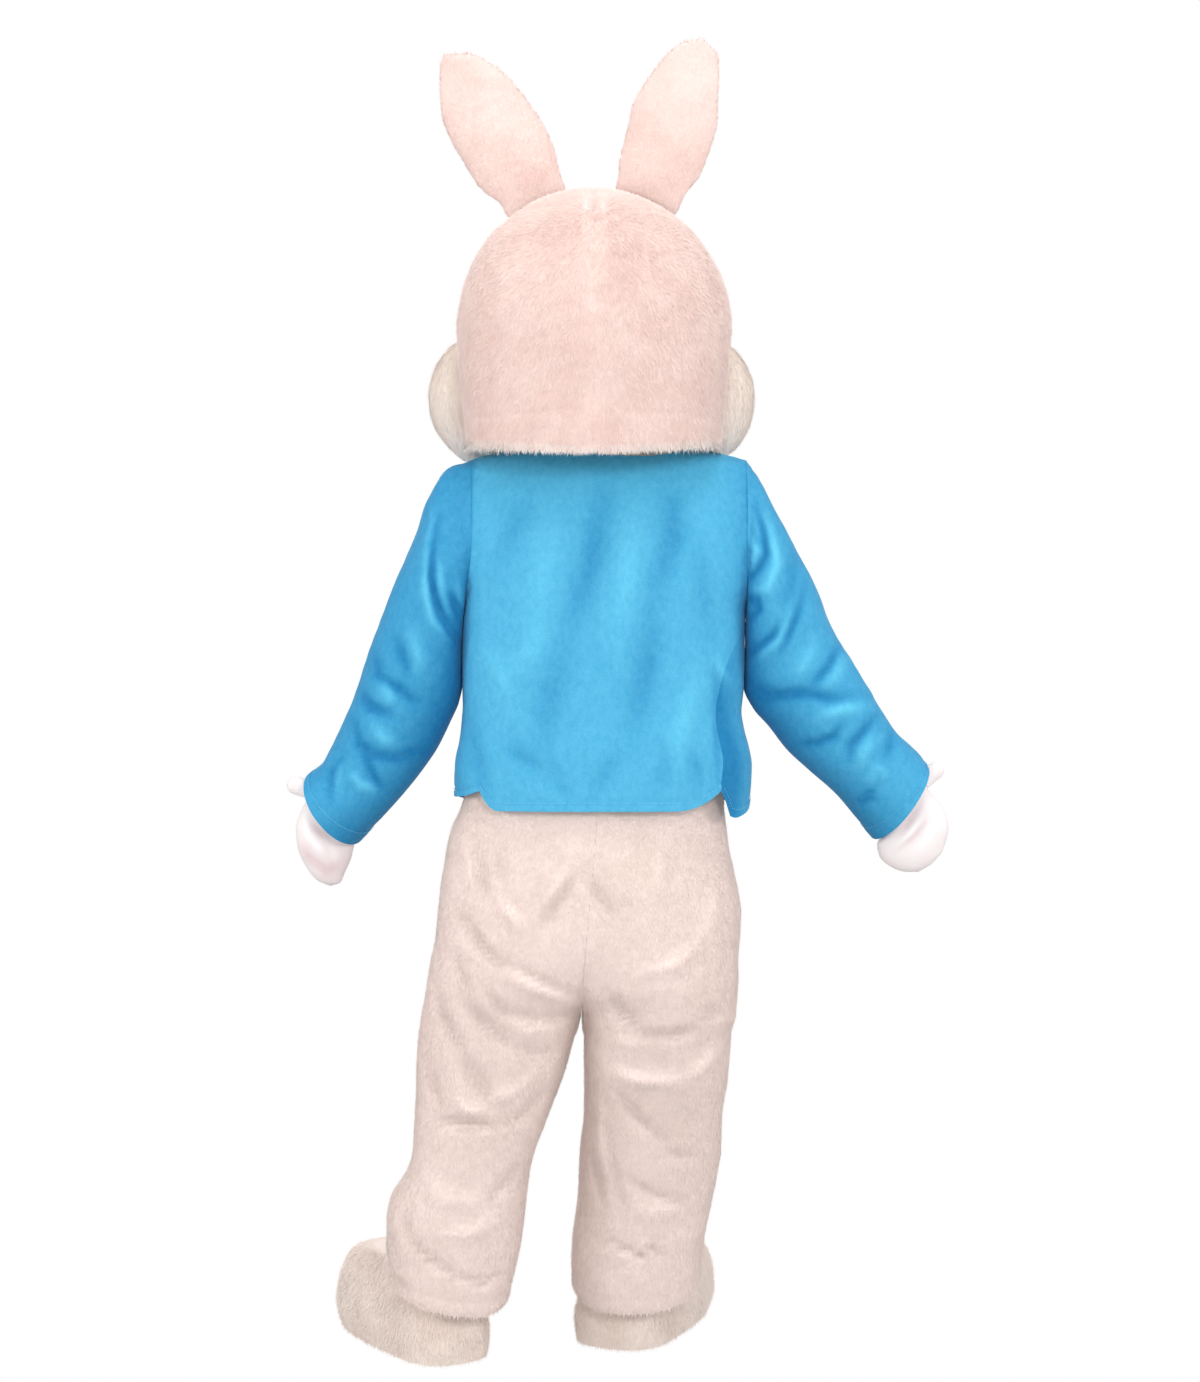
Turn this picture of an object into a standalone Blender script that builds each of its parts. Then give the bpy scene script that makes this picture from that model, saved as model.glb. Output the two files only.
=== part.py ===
"""Rabbit mascot costume: hollow head, open jacket, plush suit, mittens and soft shoes, held up as when worn.

The costume faces -Y and its own left side is at +X. Heights in the tables are above the soles, and the
part's origin is at the shoulders, where a wearer holds it up. All sizes are in metres.
"""
import math
from types import SimpleNamespace

import bmesh
import bpy
from mathutils import Vector

HOLD_HEIGHT = 1.400        # shoulders above the soles: the origin
HALF_GAP = 0.00016         # each of two pieces stops this far short of their seam
LAY_GAP = 0.0004           # half the space between an ear's two panels, and under its foot
PAD_GAP = 0.0014           # a pad on the face stands this far off it
PAD_EDGE = 0.0025          # and is this thick at its rim
FACE_MIDDLE = 0.5
STEP = 0.002               # share of a surface used to find its slope
RIDGE_REACH = 0.003        # a top edge this near the middle plane is a shoulder seam
UP = Vector((0, 0, 1))
WELD = 0.00001

HEAD_WALL = 0.012
JACKET_WALL = 0.0025
SUIT_WALL = 0.005
GLOVE_WALL = 0.0025
SHOE_WALL = 0.008
SOLE_THICKNESS = 0.012

SIDES = {"left": 1, "right": -1}
QUARTER = math.pi / 2


# ---------------------------------------------------------------- tables

class Sections:
    """A table with named columns, read smoothly between its rows. The first column is the key."""

    def __init__(self, columns, rows):
        self.names = columns.split()
        self.rows = sorted(rows)
        self.keys = [row[0] for row in self.rows]
        self.slopes = [self._slopes(column) for column in range(len(self.names))]
        self.read = {}

    def _slopes(self, column):
        """Slopes that never overshoot a row."""
        steps = []
        for low, high in zip(self.rows, self.rows[1:]):
            steps.append((high[column] - low[column]) / (high[0] - low[0]))
        slopes = [steps[0]]
        for before, after in zip(steps, steps[1:]):
            rising = before * after > 0
            slopes.append(2 * before * after / (before + after) if rising else 0.0)
        slopes.append(steps[-1])
        return slopes

    def at(self, key):
        if key not in self.read:
            self.read[key] = self._between(key)
        return self.read[key]

    def _between(self, key):
        last = len(self.rows) - 2
        place = 0
        while place < last and key > self.keys[place + 1]:
            place += 1
        low, high = self.rows[place], self.rows[place + 1]
        span = high[0] - low[0]
        share = (key - low[0]) / span
        values = {}
        for column, name in enumerate(self.names):
            start, end = self.slopes[column][place], self.slopes[column][place + 1]
            if share < 0:
                values[name] = low[column] + start * (key - low[0])
            elif share > 1:
                values[name] = high[column] + end * (key - high[0])
            else:
                rise = high[column] - low[column]
                bend = share * (1 - share) * ((1 - share) * (start * span - rise) + share * (rise - end * span))
                values[name] = low[column] + rise * share + bend
        return SimpleNamespace(**values)


def powered(value, power):
    return math.copysign(abs(value) ** power, value)


def mixed(low, high, share):
    return low + (high - low) * share


def eased(share):
    """0 to 1 with level ends."""
    share = min(1.0, max(0.0, share))
    return share * share * (3 - 2 * share)


def fold_height(folds, x, height):
    """The rise of the cloth at a place in a table of folds, each a line bent once."""
    total = 0.0
    for x0, h0, x1, h1, x2, h2, width, depth in folds:
        nearest = 9.0
        place = 0.0
        for part, (ax, ah, bx, bh) in enumerate(((x0, h0, x1, h1), (x1, h1, x2, h2))):
            run = (bx - ax) ** 2 + (bh - ah) ** 2
            share = ((x - ax) * (bx - ax) + (height - ah) * (bh - ah)) / run
            share = min(1.0, max(0.0, share))
            distance = math.hypot(x - mixed(ax, bx, share), height - mixed(ah, bh, share))
            if distance < nearest:
                nearest = distance
                place = (part + share) / 2
        fade = 0.25 + 0.75 * math.sin(math.pi * place)
        total += depth * fade * math.exp(-(nearest / width) ** 2)
    return total


# ---------------------------------------------------------------- building a wall

def material(name, colour, roughness):
    finish = bpy.data.materials.new(name)
    finish.use_nodes = True
    shader = finish.node_tree.nodes["Principled BSDF"]
    shader.inputs["Base Color"].default_value = (*colour, 1.0)
    shader.inputs["Roughness"].default_value = roughness
    shader.inputs["Metallic"].default_value = 0.0
    finish.diffuse_color = (*colour, 1.0)
    return finish


def shell(name, place, columns, rows, finish):
    """One closed wall between the outer and inner points that place(s, t) gives on a grid."""
    mesh = bmesh.new()
    bmesh.ops.create_grid(mesh, x_segments=columns, y_segments=rows, size=0.5)
    inner = {}
    for vertex in mesh.verts:
        s = round(vertex.co.x + 0.5, 6)
        t = round(vertex.co.y + 0.5, 6)
        vertex.co, inner[vertex] = place(s, t)
    bmesh.ops.remove_doubles(mesh, verts=mesh.verts[:], dist=WELD)
    rim = [edge for edge in mesh.edges if edge.is_boundary]
    copy = bmesh.ops.duplicate(mesh, geom=mesh.verts[:] + mesh.edges[:] + mesh.faces[:])
    twin = copy["vert_map"]
    for vertex, point in inner.items():
        if vertex.is_valid:
            twin[vertex].co = point
    for edge in rim:
        first, second = edge.verts
        mesh.faces.new((first, second, twin[second], twin[first]))
    bmesh.ops.recalc_face_normals(mesh, faces=mesh.faces[:])
    bmesh.ops.translate(mesh, verts=mesh.verts[:], vec=(0, 0, -HOLD_HEIGHT))
    data = bpy.data.meshes.new(name)
    mesh.to_mesh(data)
    mesh.free()
    data.shade_smooth()
    data.set_sharp_from_angle(angle=math.radians(50))
    data.materials.append(finish)
    thing = bpy.data.objects.new(name, data)
    bpy.context.scene.collection.objects.link(thing)
    return thing


def skin(surface, wall, turn=1, seams="", pole=None):
    """Place a wall inside a surface, half a gap short of the edges named in seams.

    The edges are s0, s1, ridge, the crease along the shoulders at t = 1, and armhole, a sleeve's own
    end at t = 1. turn is -1 where the surface's own normal points inwards. A surface that closes to a
    point at t = 1 gives as pole the normal there and the way to move that point off its neighbours'.
    """
    edges = seams.split()

    def place(s, t):
        point = surface(s, t)
        if pole and t == 1:
            normal, shift = pole
            point += shift * HALF_GAP
            return point, point - normal * wall
        across = surface(s + STEP, t) - surface(s - STEP, t)
        along = surface(s, t + STEP) - surface(s, t - STEP)
        normal = across.cross(along).normalized() * turn
        across.normalize()
        along.normalize()
        if s == 0 and "s0" in edges:
            point += across * HALF_GAP
        if s == 1 and "s1" in edges:
            point -= across * HALF_GAP
        if t == 1 and "armhole" in edges and normal.x * point.x > 0:
            normal = Vector((0, normal.y, normal.z)).normalized()
        if t == 1 and "ridge" in edges and abs(point.y) < RIDGE_REACH:
            normal = Vector((normal.x, 0, normal.z)).normalized()
            point -= along * HALF_GAP
        return point, point - normal * wall

    return place


def pad(surface, size, turn=0):
    """Place a domed pad on the face: s runs round it and t from its middle to its rim."""
    middle = FACE_MIDDLE + turn * size["out"]

    def place(s, t):
        angle = 2 * math.pi * (s % 1.0)
        a = middle + size["reach"][0] * t * math.cos(angle)
        b = size["level"] + size["reach"][1] * t * math.sin(angle)
        point = surface(a, b)
        across = surface(a + STEP, b) - surface(a - STEP, b)
        along = surface(a, b + STEP) - surface(a, b - STEP)
        normal = across.cross(along).normalized()
        rise = PAD_EDGE + (size["height"] - PAD_EDGE) * math.sqrt(max(0.0, 1 - t * t))
        return point + normal * (PAD_GAP + rise), point + normal * PAD_GAP

    return place


# ---------------------------------------------------------------- head

HEAD_X = 0.010             # the head sits a little to its left
HEAD_TOP = 1.838
HEAD_WIDEST = 1.615        # the dome starts here
DOME_SHARE = 0.58          # and takes this share of the head's levels
HEAD_COLUMNS = "height half back front middle"
HEAD_ROWS = (
    (1.405, 0.199, 0.186, 0.186, -0.010),
    (1.440, 0.203, 0.192, 0.190, -0.010),
    (1.500, 0.209, 0.199, 0.200, -0.010),
    (1.560, 0.215, 0.205, 0.206, -0.010),
    (1.615, 0.219, 0.208, 0.208, -0.010),
)
HEAD_RIM_BACK = 1.410
HEAD_RIM_SIDE = 1.434
CHEEKS = {
    "left": {"out": 0.40, "level": 0.200, "reach": (0.112, 0.225), "height": 0.082},
    "right": {"out": 0.40, "level": 0.192, "reach": (0.112, 0.217), "height": 0.074},
}
MUZZLE = {"out": 0.101, "level": 0.195, "reach": (0.098, 0.135), "height": 0.068}
EYE = {"out": 0.135, "level": 0.520, "reach": (0.056, 0.092), "height": 0.014}
NOSE = {"out": 0.0, "level": 0.385, "reach": (0.058, 0.046), "height": 0.034}
FACE_SEAM = math.radians(-12)      # the face panel starts this far forward of the sides
EAR_THICKNESS = 0.030
EAR_FOOT_SHARE = 0.40      # the cut of the foot fades out over this share of an ear
FOOT_GAP = 0.0012
EAR_TIP_CROWDING = 1.5     # rows of faces lie closer towards the tip
EAR_Y = -0.015
EAR_EDGE = 0.004           # an ear's half thickness at its edge
EAR_TIP_THINNING = 0.55
EAR_DISH = 0.010
EAR_LEAN = 0.012
EAR_COLUMNS = "share half shift"   # shift moves a row to the costume's left
EAR_ROWS = {
    "left": (
        (0.00, 0.0520, -0.0130), (0.12, 0.0550, -0.0135), (0.20, 0.0630, -0.0100), (0.28, 0.0690, -0.0085),
        (0.42, 0.0715, -0.0070), (0.56, 0.0700, -0.0030), (0.68, 0.0650, -0.0010), (0.80, 0.0530, -0.0010),
        (0.885, 0.0400, 0.0005), (0.94, 0.0300, 0.0030), (0.97, 0.0175, 0.0100), (1.00, 0.0050, 0.0130),
    ),
    "right": (
        (0.00, 0.0530, 0.0080), (0.12, 0.0560, 0.0065), (0.20, 0.0610, 0.0055), (0.28, 0.0665, 0.0020),
        (0.42, 0.0690, 0.0012), (0.54, 0.0705, 0.0025), (0.68, 0.0615, 0.0025), (0.80, 0.0515, 0.0012),
        (0.885, 0.0420, -0.0005), (0.94, 0.0345, -0.0025), (0.97, 0.0210, -0.0030), (1.00, 0.0050, -0.0045),
    ),
}
EARS = {
    "left": {"base": 0.094, "tip": 0.2228, "tip_height": 2.0576, "base_height": 1.796},
    "right": {"base": 0.083, "tip": 0.1685, "tip_height": 2.0772, "base_height": 1.796},
}
HEAD = Sections(HEAD_COLUMNS, HEAD_ROWS)


def head_point(angle, level):
    """A point on the head: angle 0 is its left side and 90 degrees its back; level 0 the rim, 1 the crown."""
    rim = mixed(HEAD_RIM_SIDE, HEAD_RIM_BACK, math.sin(angle) ** 2)
    lower = 1 - DOME_SHARE
    if level < lower:
        row = HEAD.at(mixed(rim, HEAD_WIDEST, level / lower))
        height, shrink = row.height, 1.0
    else:
        row = HEAD.at(HEAD_WIDEST)
        turn = QUARTER * (level - lower) / DOME_SHARE
        height = HEAD_WIDEST + (HEAD_TOP - HEAD_WIDEST) * math.sin(turn)
        shrink = math.cos(turn)
    depth = row.back if math.sin(angle) > 0 else row.front
    x = HEAD_X + row.half * shrink * math.cos(angle)
    y = row.middle + depth * shrink * math.sin(angle)
    return Vector((x, y, height))


def build_head(plush, cream, pink, dark):
    for side, turn in SIDES.items():
        def back(s, t, turn=turn):
            angle = QUARTER - turn * (QUARTER - mixed(FACE_SEAM, QUARTER, s))
            return head_point(angle, t)
        pole = (UP, Vector((turn, 1, 0)))
        shell("head_back_" + side, skin(back, HEAD_WALL, turn, "s0 s1", pole), 9, 11, plush)

    def face(s, t):
        return head_point(mixed(-math.pi - FACE_SEAM, FACE_SEAM, s), t)

    shell("head_face", skin(face, HEAD_WALL, 1, "s0 s1", (UP, Vector((0, -2, 0)))), 14, 11, cream)

    for side, turn in SIDES.items():
        shell("cheek_" + side, pad(face, CHEEKS[side], turn), 16, 5, cream)
        shell("muzzle_" + side, pad(face, MUZZLE, turn), 14, 4, cream)
        shell("eye_" + side, pad(face, EYE, turn), 12, 3, dark)
    shell("nose", pad(face, NOSE), 12, 3, pink)

    for side, turn in SIDES.items():
        build_ear(side, turn, plush, pink)


def slide_to_dome(point, axis):
    """The share of an axis by which a point slides to stand on the head's dome."""
    row = HEAD.at(HEAD_WIDEST)
    depth = row.back if point.y > row.middle else row.front
    sizes = [size + FOOT_GAP for size in (row.half, depth, HEAD_TOP - HEAD_WIDEST)]
    start = point - Vector((HEAD_X, row.middle, HEAD_WIDEST))
    start = Vector([value / size for value, size in zip(start, sizes)])
    run = Vector([value / size for value, size in zip(axis, sizes)])
    square, double, rest = run.dot(run), 2 * run.dot(start), start.dot(start) - 1
    return (-double + math.sqrt(double * double - 4 * square * rest)) / (2 * square)


def build_ear(side, turn, plush, pink):
    """An ear in two panels that meet in its middle plane, its foot cut to the head's dome."""
    size = EARS[side]
    outline = Sections(EAR_COLUMNS, EAR_ROWS[side])
    foot = Vector((HEAD_X + turn * size["base"], EAR_Y, size["base_height"]))
    tip = Vector((HEAD_X + turn * size["tip"], EAR_Y, size["tip_height"]))
    axis = tip - foot
    width = Vector((axis.z, 0, -axis.x)).normalized()

    def ear(face_side, s, t):
        """Middle-plane point and outer point of the ear at s across and t up."""
        across = -math.cos(math.pi * s)
        row = outline.at(t)
        start = outline.at(0)
        depth = EAR_EDGE + (EAR_THICKNESS / 2 - EAR_EDGE) * math.sqrt(max(0.0, 1 - across * across))
        depth *= mixed(1.0, EAR_TIP_THINNING, t)
        dish = EAR_DISH * (1 - across * across) * math.sin(math.pi * min(1.0, t + 0.12)) * eased(t / 0.2)
        lean = EAR_LEAN * math.sin(math.pi * t)
        spine = foot + axis * t
        flat = spine + width * (across * row.half + row.shift)
        flat.y += lean + dish + face_side * LAY_GAP / 2
        outer = flat + Vector((0, face_side * depth, 0))
        share = max(0.0, 1 - t / EAR_FOOT_SHARE)
        for point in (flat, outer):
            base = foot + width * (across * start.half + start.shift)
            base.y = point.y
            point += axis * (slide_to_dome(base, axis) * share * share)
        return outer, flat

    for panel, face_side, finish in (("back", 1, plush), ("front", -1, pink)):
        def place(s, t, face_side=face_side):
            return ear(face_side, s, 1 - (1 - t) ** EAR_TIP_CROWDING)
        shell("ear_" + side + "_" + panel, place, 7, 8, finish)


# ---------------------------------------------------------------- jacket

JACKET_COLUMNS = "rise height left right front back power slope side_left side_right fore_left fore_right"
JACKET_ROWS = (
    (0.867, 0.867, 0.228, 0.234, 0.150, 0.130, 2.4, 0.000, 39, 41, 39, 41),
    (0.930, 0.930, 0.226, 0.238, 0.147, 0.128, 2.4, 0.000, 39, 41, 39, 41),
    (1.020, 1.020, 0.2145, 0.2215, 0.142, 0.124, 2.4, 0.000, 38, 40, 38, 40),
    (1.060, 1.060, 0.2150, 0.2245, 0.139, 0.123, 2.4, 0.000, 36, 38, 36, 38),
    (1.100, 1.100, 0.2150, 0.2255, 0.137, 0.122, 2.4, 0.000, 29, 31, 29, 31),
    (1.150, 1.150, 0.2150, 0.2265, 0.134, 0.121, 2.4, 0.000, 13, 13, 13, 13),
    (1.170, 1.170, 0.2155, 0.2275, 0.132, 0.120, 2.4, 0.000, 6, 6, 6, 6),
    (1.207, 1.207, 0.218, 0.236, 0.129, 0.119, 2.4, 0.003, 19, 16, -10, -10),
    (1.243, 1.243, 0.226, 0.244, 0.124, 0.116, 2.4, 0.008, 29, 23, -23, -21),
    (1.280, 1.280, 0.232, 0.250, 0.118, 0.111, 2.4, 0.013, 34, 26, -31, -26),
    (1.320, 1.319, 0.236, 0.253, 0.109, 0.103, 2.4, 0.020, 36, 28, -35, -28),
    (1.370, 1.367, 0.238, 0.254, 0.090, 0.086, 2.4, 0.030, 36, 28, -36, -29),
    (1.420, 1.412, 0.238, 0.254, 0.062, 0.060, 2.4, 0.037, 36, 28, -36, -28),
    (1.460, 1.441, 0.238, 0.254, 0.034, 0.033, 2.4, 0.040, 36, 28, -36, -28),
    (1.500, 1.453, 0.238, 0.254, 0.000, 0.000, 2.4, 0.041, 36, 28, -36, -28),
)
JACKET = Sections(JACKET_COLUMNS, JACKET_ROWS)
JACKET_HEM = 0.867
LOWER_ROWS = 8             # rows of faces from the hem to the underarm, and on to the shoulder
UPPER_ROWS = 9
HEM_FADE = 0.12            # the hem's curve fades out this far up
JACKET_TOP = 1.500
UNDERARM = 1.170
NECK_SHARE = 0.43          # the neck opening reaches this share of the way to the armhole
BACK_NECK_DROP = 0.075
FRONT_NECK_DROP = 0.150
SHOULDER_REACH = {1: 0.200, -1: 0.226}
HEM_RISE_AT_VENT = 0.030
HEM_CORNERS = {            # the share of the back's half width at which the hem turns up, and how fast
    "left": {"start": 0.76, "power": 2.0},
    "right": {"start": 0.55, "power": 1.7},
}
FRONT_HEM_COLUMNS = "share left right"     # how far a front's hem stands above the back's
FRONT_HEM_ROWS = (
    (0.00, 0.0300, 0.0300), (0.04, 0.0270, 0.0120), (0.08, 0.0240, -0.0100), (0.12, 0.0220, -0.0120),
    (0.20, 0.0200, -0.0080), (0.30, 0.0190, -0.0020), (0.40, 0.0190, 0.0060), (0.55, 0.0140, 0.0080),
    (0.70, 0.0090, 0.0080), (0.84, 0.0090, 0.0090), (0.92, 0.0200, 0.0200), (1.00, 0.0380, 0.0380),
)
FRONT_HEM = Sections(FRONT_HEM_COLUMNS, FRONT_HEM_ROWS)
JACKET_FOLD_TOP = 1.36     # the folds fade out from here to the shoulders
JACKET_FOLD_FADE = 0.08
JACKET_SIDE_FADE = 2.2     # and towards the sides
FRONT_EDGE_COLUMNS = "rise left right"
FRONT_EDGE_ROWS = (
    (0.867, -62, -60), (0.890, -68, -66), (0.930, -74, -72), (1.000, -78, -77),
    (1.200, -81, -80), (1.350, -80, -80), (1.500, -74, -74),
)
FRONT_EDGE = Sections(FRONT_EDGE_COLUMNS, FRONT_EDGE_ROWS)
JACKET_BACK_FOLDS = (
    (0.008, 1.380, 0.040, 1.190, 0.068, 1.110, 0.024, -0.0050),
    (0.062, 1.320, 0.085, 1.200, 0.105, 1.090, 0.026, 0.0040),
    (-0.102, 1.370, -0.080, 1.160, -0.060, 0.950, 0.024, -0.0045),
    (-0.060, 1.300, -0.045, 1.120, -0.030, 0.940, 0.026, 0.0035),
    (0.180, 1.120, 0.160, 1.000, 0.150, 0.880, 0.018, -0.0035),
    (-0.150, 1.160, -0.165, 1.020, -0.170, 0.900, 0.016, -0.0040),
    (0.190, 1.180, 0.130, 1.130, 0.060, 1.110, 0.020, 0.0030),
)
JACKET_FRONT_FOLDS = (
    (0.150, 1.330, 0.130, 1.180, 0.140, 1.030, 0.024, -0.0045),
    (0.090, 1.300, 0.080, 1.120, 0.095, 0.920, 0.022, 0.0040),
    (-0.140, 1.320, -0.125, 1.160, -0.110, 0.960, 0.024, -0.0045),
    (-0.185, 1.120, -0.180, 1.000, -0.170, 0.880, 0.018, 0.0040),
    (0.195, 1.080, 0.185, 0.980, 0.180, 0.880, 0.018, -0.0035),
)


def section_point(angle, row):
    """A point on a row's rounded section, in plan."""
    power = 2.0 / row.power
    across = powered(math.cos(angle), power)
    along = powered(math.sin(angle), power)
    x = across * (row.left if across > 0 else row.right)
    y = along * (row.back if along > 0 else row.front)
    return x, y


def jacket_point(angle, rise, lift=0.0):
    row = JACKET.at(rise)
    x, y = section_point(angle, row)
    drop = row.slope * (abs(x) / SHOULDER_REACH[1 if x > 0 else -1]) ** 1.5
    height = row.height - drop + lift
    folds = JACKET_BACK_FOLDS if y > 0 else JACKET_FRONT_FOLDS
    fade = 1 - eased((rise - JACKET_FOLD_TOP) / JACKET_FOLD_FADE)
    fade *= min(1.0, abs(math.sin(angle)) * JACKET_SIDE_FADE)
    if fade > 0:
        out = fold_height(folds, x, height) * fade
        y += out if y > 0 else -out
    return Vector((x, y, height))


def jacket_rise(t, neck_drop):
    """Rise at t, with a row of points exactly at the underarm; the neck's drop fades out below it."""
    underarm = LOWER_ROWS / (LOWER_ROWS + UPPER_ROWS)
    if t < underarm:
        return mixed(JACKET_HEM, UNDERARM, t / underarm)
    share = (t - underarm) / (1 - underarm)
    return mixed(UNDERARM, JACKET_TOP, share) - neck_drop * share * share


def jacket_back_surface(s, t):
    """s runs from the left side to the right; t from the hem to the neck and shoulders."""
    u = 1 - 2 * s
    neck = max(0.0, 1 - (u / NECK_SHARE) ** 2)
    rise = jacket_rise(t, BACK_NECK_DROP * math.sqrt(neck))
    row = JACKET.at(rise)
    start = math.radians(row.side_left)
    end = math.pi - math.radians(row.side_right)
    corner = HEM_CORNERS["left" if u > 0 else "right"]
    past = max(0.0, abs(u) - corner["start"]) / (1 - corner["start"])
    lift = HEM_RISE_AT_VENT * past ** corner["power"]
    lift *= 1 - eased((rise - JACKET_HEM) / HEM_FADE)
    return jacket_point(mixed(start, end, s), rise, lift)


def jacket_front_surface(side, s, t):
    """s runs from the side seam to the front edge."""
    u = 1 - s
    neck = max(0.0, 1 - (u / NECK_SHARE) ** 2)
    rise = jacket_rise(t, FRONT_NECK_DROP * math.sqrt(neck))
    row = JACKET.at(rise)
    edge = FRONT_EDGE.at(rise)
    start = math.radians(row.fore_left if side == "left" else row.fore_right)
    end = math.radians(edge.left if side == "left" else edge.right)
    angle = mixed(start, end, s)
    if side == "right":
        angle = math.pi - angle
    hem = FRONT_HEM.at(s)
    lift = hem.left if side == "left" else hem.right
    lift *= 1 - eased((rise - JACKET_HEM) / HEM_FADE)
    return jacket_point(angle, rise, lift)


def armhole_point(side, share):
    """Round the armhole: share 0 is the shoulder, a half the underarm, and the back comes first."""
    down = 1 - abs(1 - 2 * share)
    rise = mixed(JACKET_TOP, UNDERARM, down)
    row = JACKET.at(rise)
    if share < 0.5:
        angle = row.side_left if side == "left" else row.side_right
    else:
        angle = row.fore_left if side == "left" else row.fore_right
    angle = math.radians(angle)
    if side == "right":
        angle = math.pi - angle
    return jacket_point(angle, rise)


# ---------------------------------------------------------------- sleeves

# lead is how far the back of a ring runs ahead towards the hand
SLEEVE_COLUMNS = "share outer_x outer_h inner_x inner_h middle depth lead"
SLEEVE_ROWS = {
    "left": (
        (0.00, 0.210, 1.412, 0.217, 1.160, 0.000, 0.074, 0.0000),
        (0.07, 0.244, 1.400, 0.2175, 1.140, 0.000, 0.076, 0.0000),
        (0.16, 0.270, 1.354, 0.2162, 1.122, 0.000, 0.077, 0.0000),
        (0.25, 0.287, 1.300, 0.2160, 1.104, -0.001, 0.077, 0.0000),
        (0.35, 0.313, 1.239, 0.2160, 1.086, -0.003, 0.076, 0.0000),
        (0.46, 0.338, 1.177, 0.2162, 1.062, -0.006, 0.075, 0.0000),
        (0.57, 0.362, 1.114, 0.2210, 1.034, -0.010, 0.074, 0.0000),
        (0.67, 0.382, 1.052, 0.236, 1.000, -0.015, 0.073, 0.0020),
        (0.78, 0.410, 0.989, 0.256, 0.960, -0.021, 0.070, 0.0080),
        (0.86, 0.428, 0.953, 0.281, 0.924, -0.025, 0.068, 0.0150),
        (0.93, 0.441, 0.934, 0.311, 0.887, -0.028, 0.066, 0.0210),
        (1.00, 0.458, 0.9205, 0.380, 0.811, -0.030, 0.063, 0.0275),
    ),
    "right": (
        (0.00, 0.238, 1.412, 0.229, 1.165, 0.000, 0.074, 0.0000),
        (0.07, 0.254, 1.388, 0.2295, 1.145, 0.000, 0.076, 0.0000),
        (0.16, 0.275, 1.335, 0.2285, 1.125, 0.000, 0.077, 0.0000),
        (0.25, 0.307, 1.271, 0.2278, 1.104, -0.001, 0.077, 0.0000),
        (0.35, 0.340, 1.208, 0.2275, 1.080, -0.003, 0.076, 0.0000),
        (0.46, 0.365, 1.146, 0.2275, 1.055, -0.006, 0.075, 0.0000),
        (0.57, 0.400, 1.090, 0.2410, 1.022, -0.010, 0.074, 0.0000),
        (0.67, 0.437, 1.028, 0.265, 0.995, -0.015, 0.073, 0.0010),
        (0.78, 0.466, 0.985, 0.294, 0.958, -0.021, 0.070, 0.0040),
        (0.86, 0.491, 0.962, 0.331, 0.924, -0.025, 0.068, 0.0090),
        (0.93, 0.504, 0.950, 0.370, 0.890, -0.028, 0.066, 0.0125),
        (1.00, 0.515, 0.9345, 0.430, 0.8175, -0.030, 0.063, 0.0165),
    ),
}
SLEEVES = {side: Sections(SLEEVE_COLUMNS, rows) for side, rows in SLEEVE_ROWS.items()}
SLEEVE_BLEND = 0.24        # the armhole's shape fades out over this share of the sleeve
SLEEVE_CLEAR = 0.0006
SLEEVE_FOLDS = {
    "left": (
        (0.232, 1.300, 0.225, 1.220, 0.232, 1.165, 0.016, -0.0060),
        (0.262, 1.290, 0.250, 1.210, 0.236, 1.150, 0.016, 0.0055),
        (0.300, 1.200, 0.275, 1.150, 0.240, 1.120, 0.016, -0.0055),
        (0.335, 1.120, 0.290, 1.085, 0.245, 1.075, 0.017, 0.0055),
        (0.370, 1.050, 0.320, 1.030, 0.262, 1.025, 0.015, -0.0060),
        (0.392, 1.000, 0.345, 0.975, 0.290, 0.970, 0.015, 0.0050),
        (0.405, 0.955, 0.365, 0.925, 0.318, 0.915, 0.014, -0.0045),
    ),
    "right": (
        (0.262, 1.270, 0.248, 1.210, 0.245, 1.165, 0.016, -0.0060),
        (0.300, 1.230, 0.275, 1.190, 0.248, 1.150, 0.016, 0.0055),
        (0.335, 1.150, 0.300, 1.120, 0.255, 1.110, 0.017, -0.0055),
        (0.372, 1.090, 0.330, 1.060, 0.275, 1.055, 0.016, 0.0055),
        (0.415, 1.020, 0.370, 1.010, 0.300, 1.010, 0.015, -0.0065),
        (0.455, 0.990, 0.400, 0.960, 0.340, 0.955, 0.015, 0.0055),
        (0.480, 0.950, 0.430, 0.920, 0.385, 0.905, 0.014, -0.0045),
    ),
}


def sleeve_ring(side, angle, share):
    """A point of a sleeve's own rings, in the left sleeve's sense: angle 0 is the outer edge."""
    row = SLEEVES[side].at(share)
    outer = Vector((row.outer_x, 0, row.outer_h))
    inner = Vector((row.inner_x, 0, row.inner_h))
    middle = (outer + inner) / 2 + Vector((0, row.middle, 0))
    ahead = Vector((outer.z - inner.z, 0, inner.x - outer.x)).normalized()
    behind = (Vector((0, row.depth, 0)) + ahead * row.lead) * math.sin(angle)
    return middle + (outer - inner) / 2 * math.cos(angle) + behind


def sleeve_surface(side, s, t):
    """s runs once round from the outer edge over the back; t runs from the cuff up to the armhole."""
    angle = 2 * math.pi * s
    share = 1 - t
    point = sleeve_ring(side, angle, share)
    if share < SLEEVE_BLEND:
        hole = armhole_point(side, s % 1.0)
        hole.x = abs(hole.x) + SLEEVE_CLEAR
        keep = 1 - eased(share / SLEEVE_BLEND)
        point += (hole - sleeve_ring(side, angle, 0.0)) * keep
    out = fold_height(SLEEVE_FOLDS[side], point.x, point.z) * abs(math.sin(angle))
    out *= eased(share / 0.1)
    point.y += out if math.sin(angle) > 0 else -out
    return Vector((point.x * SIDES[side], point.y, point.z))


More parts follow.
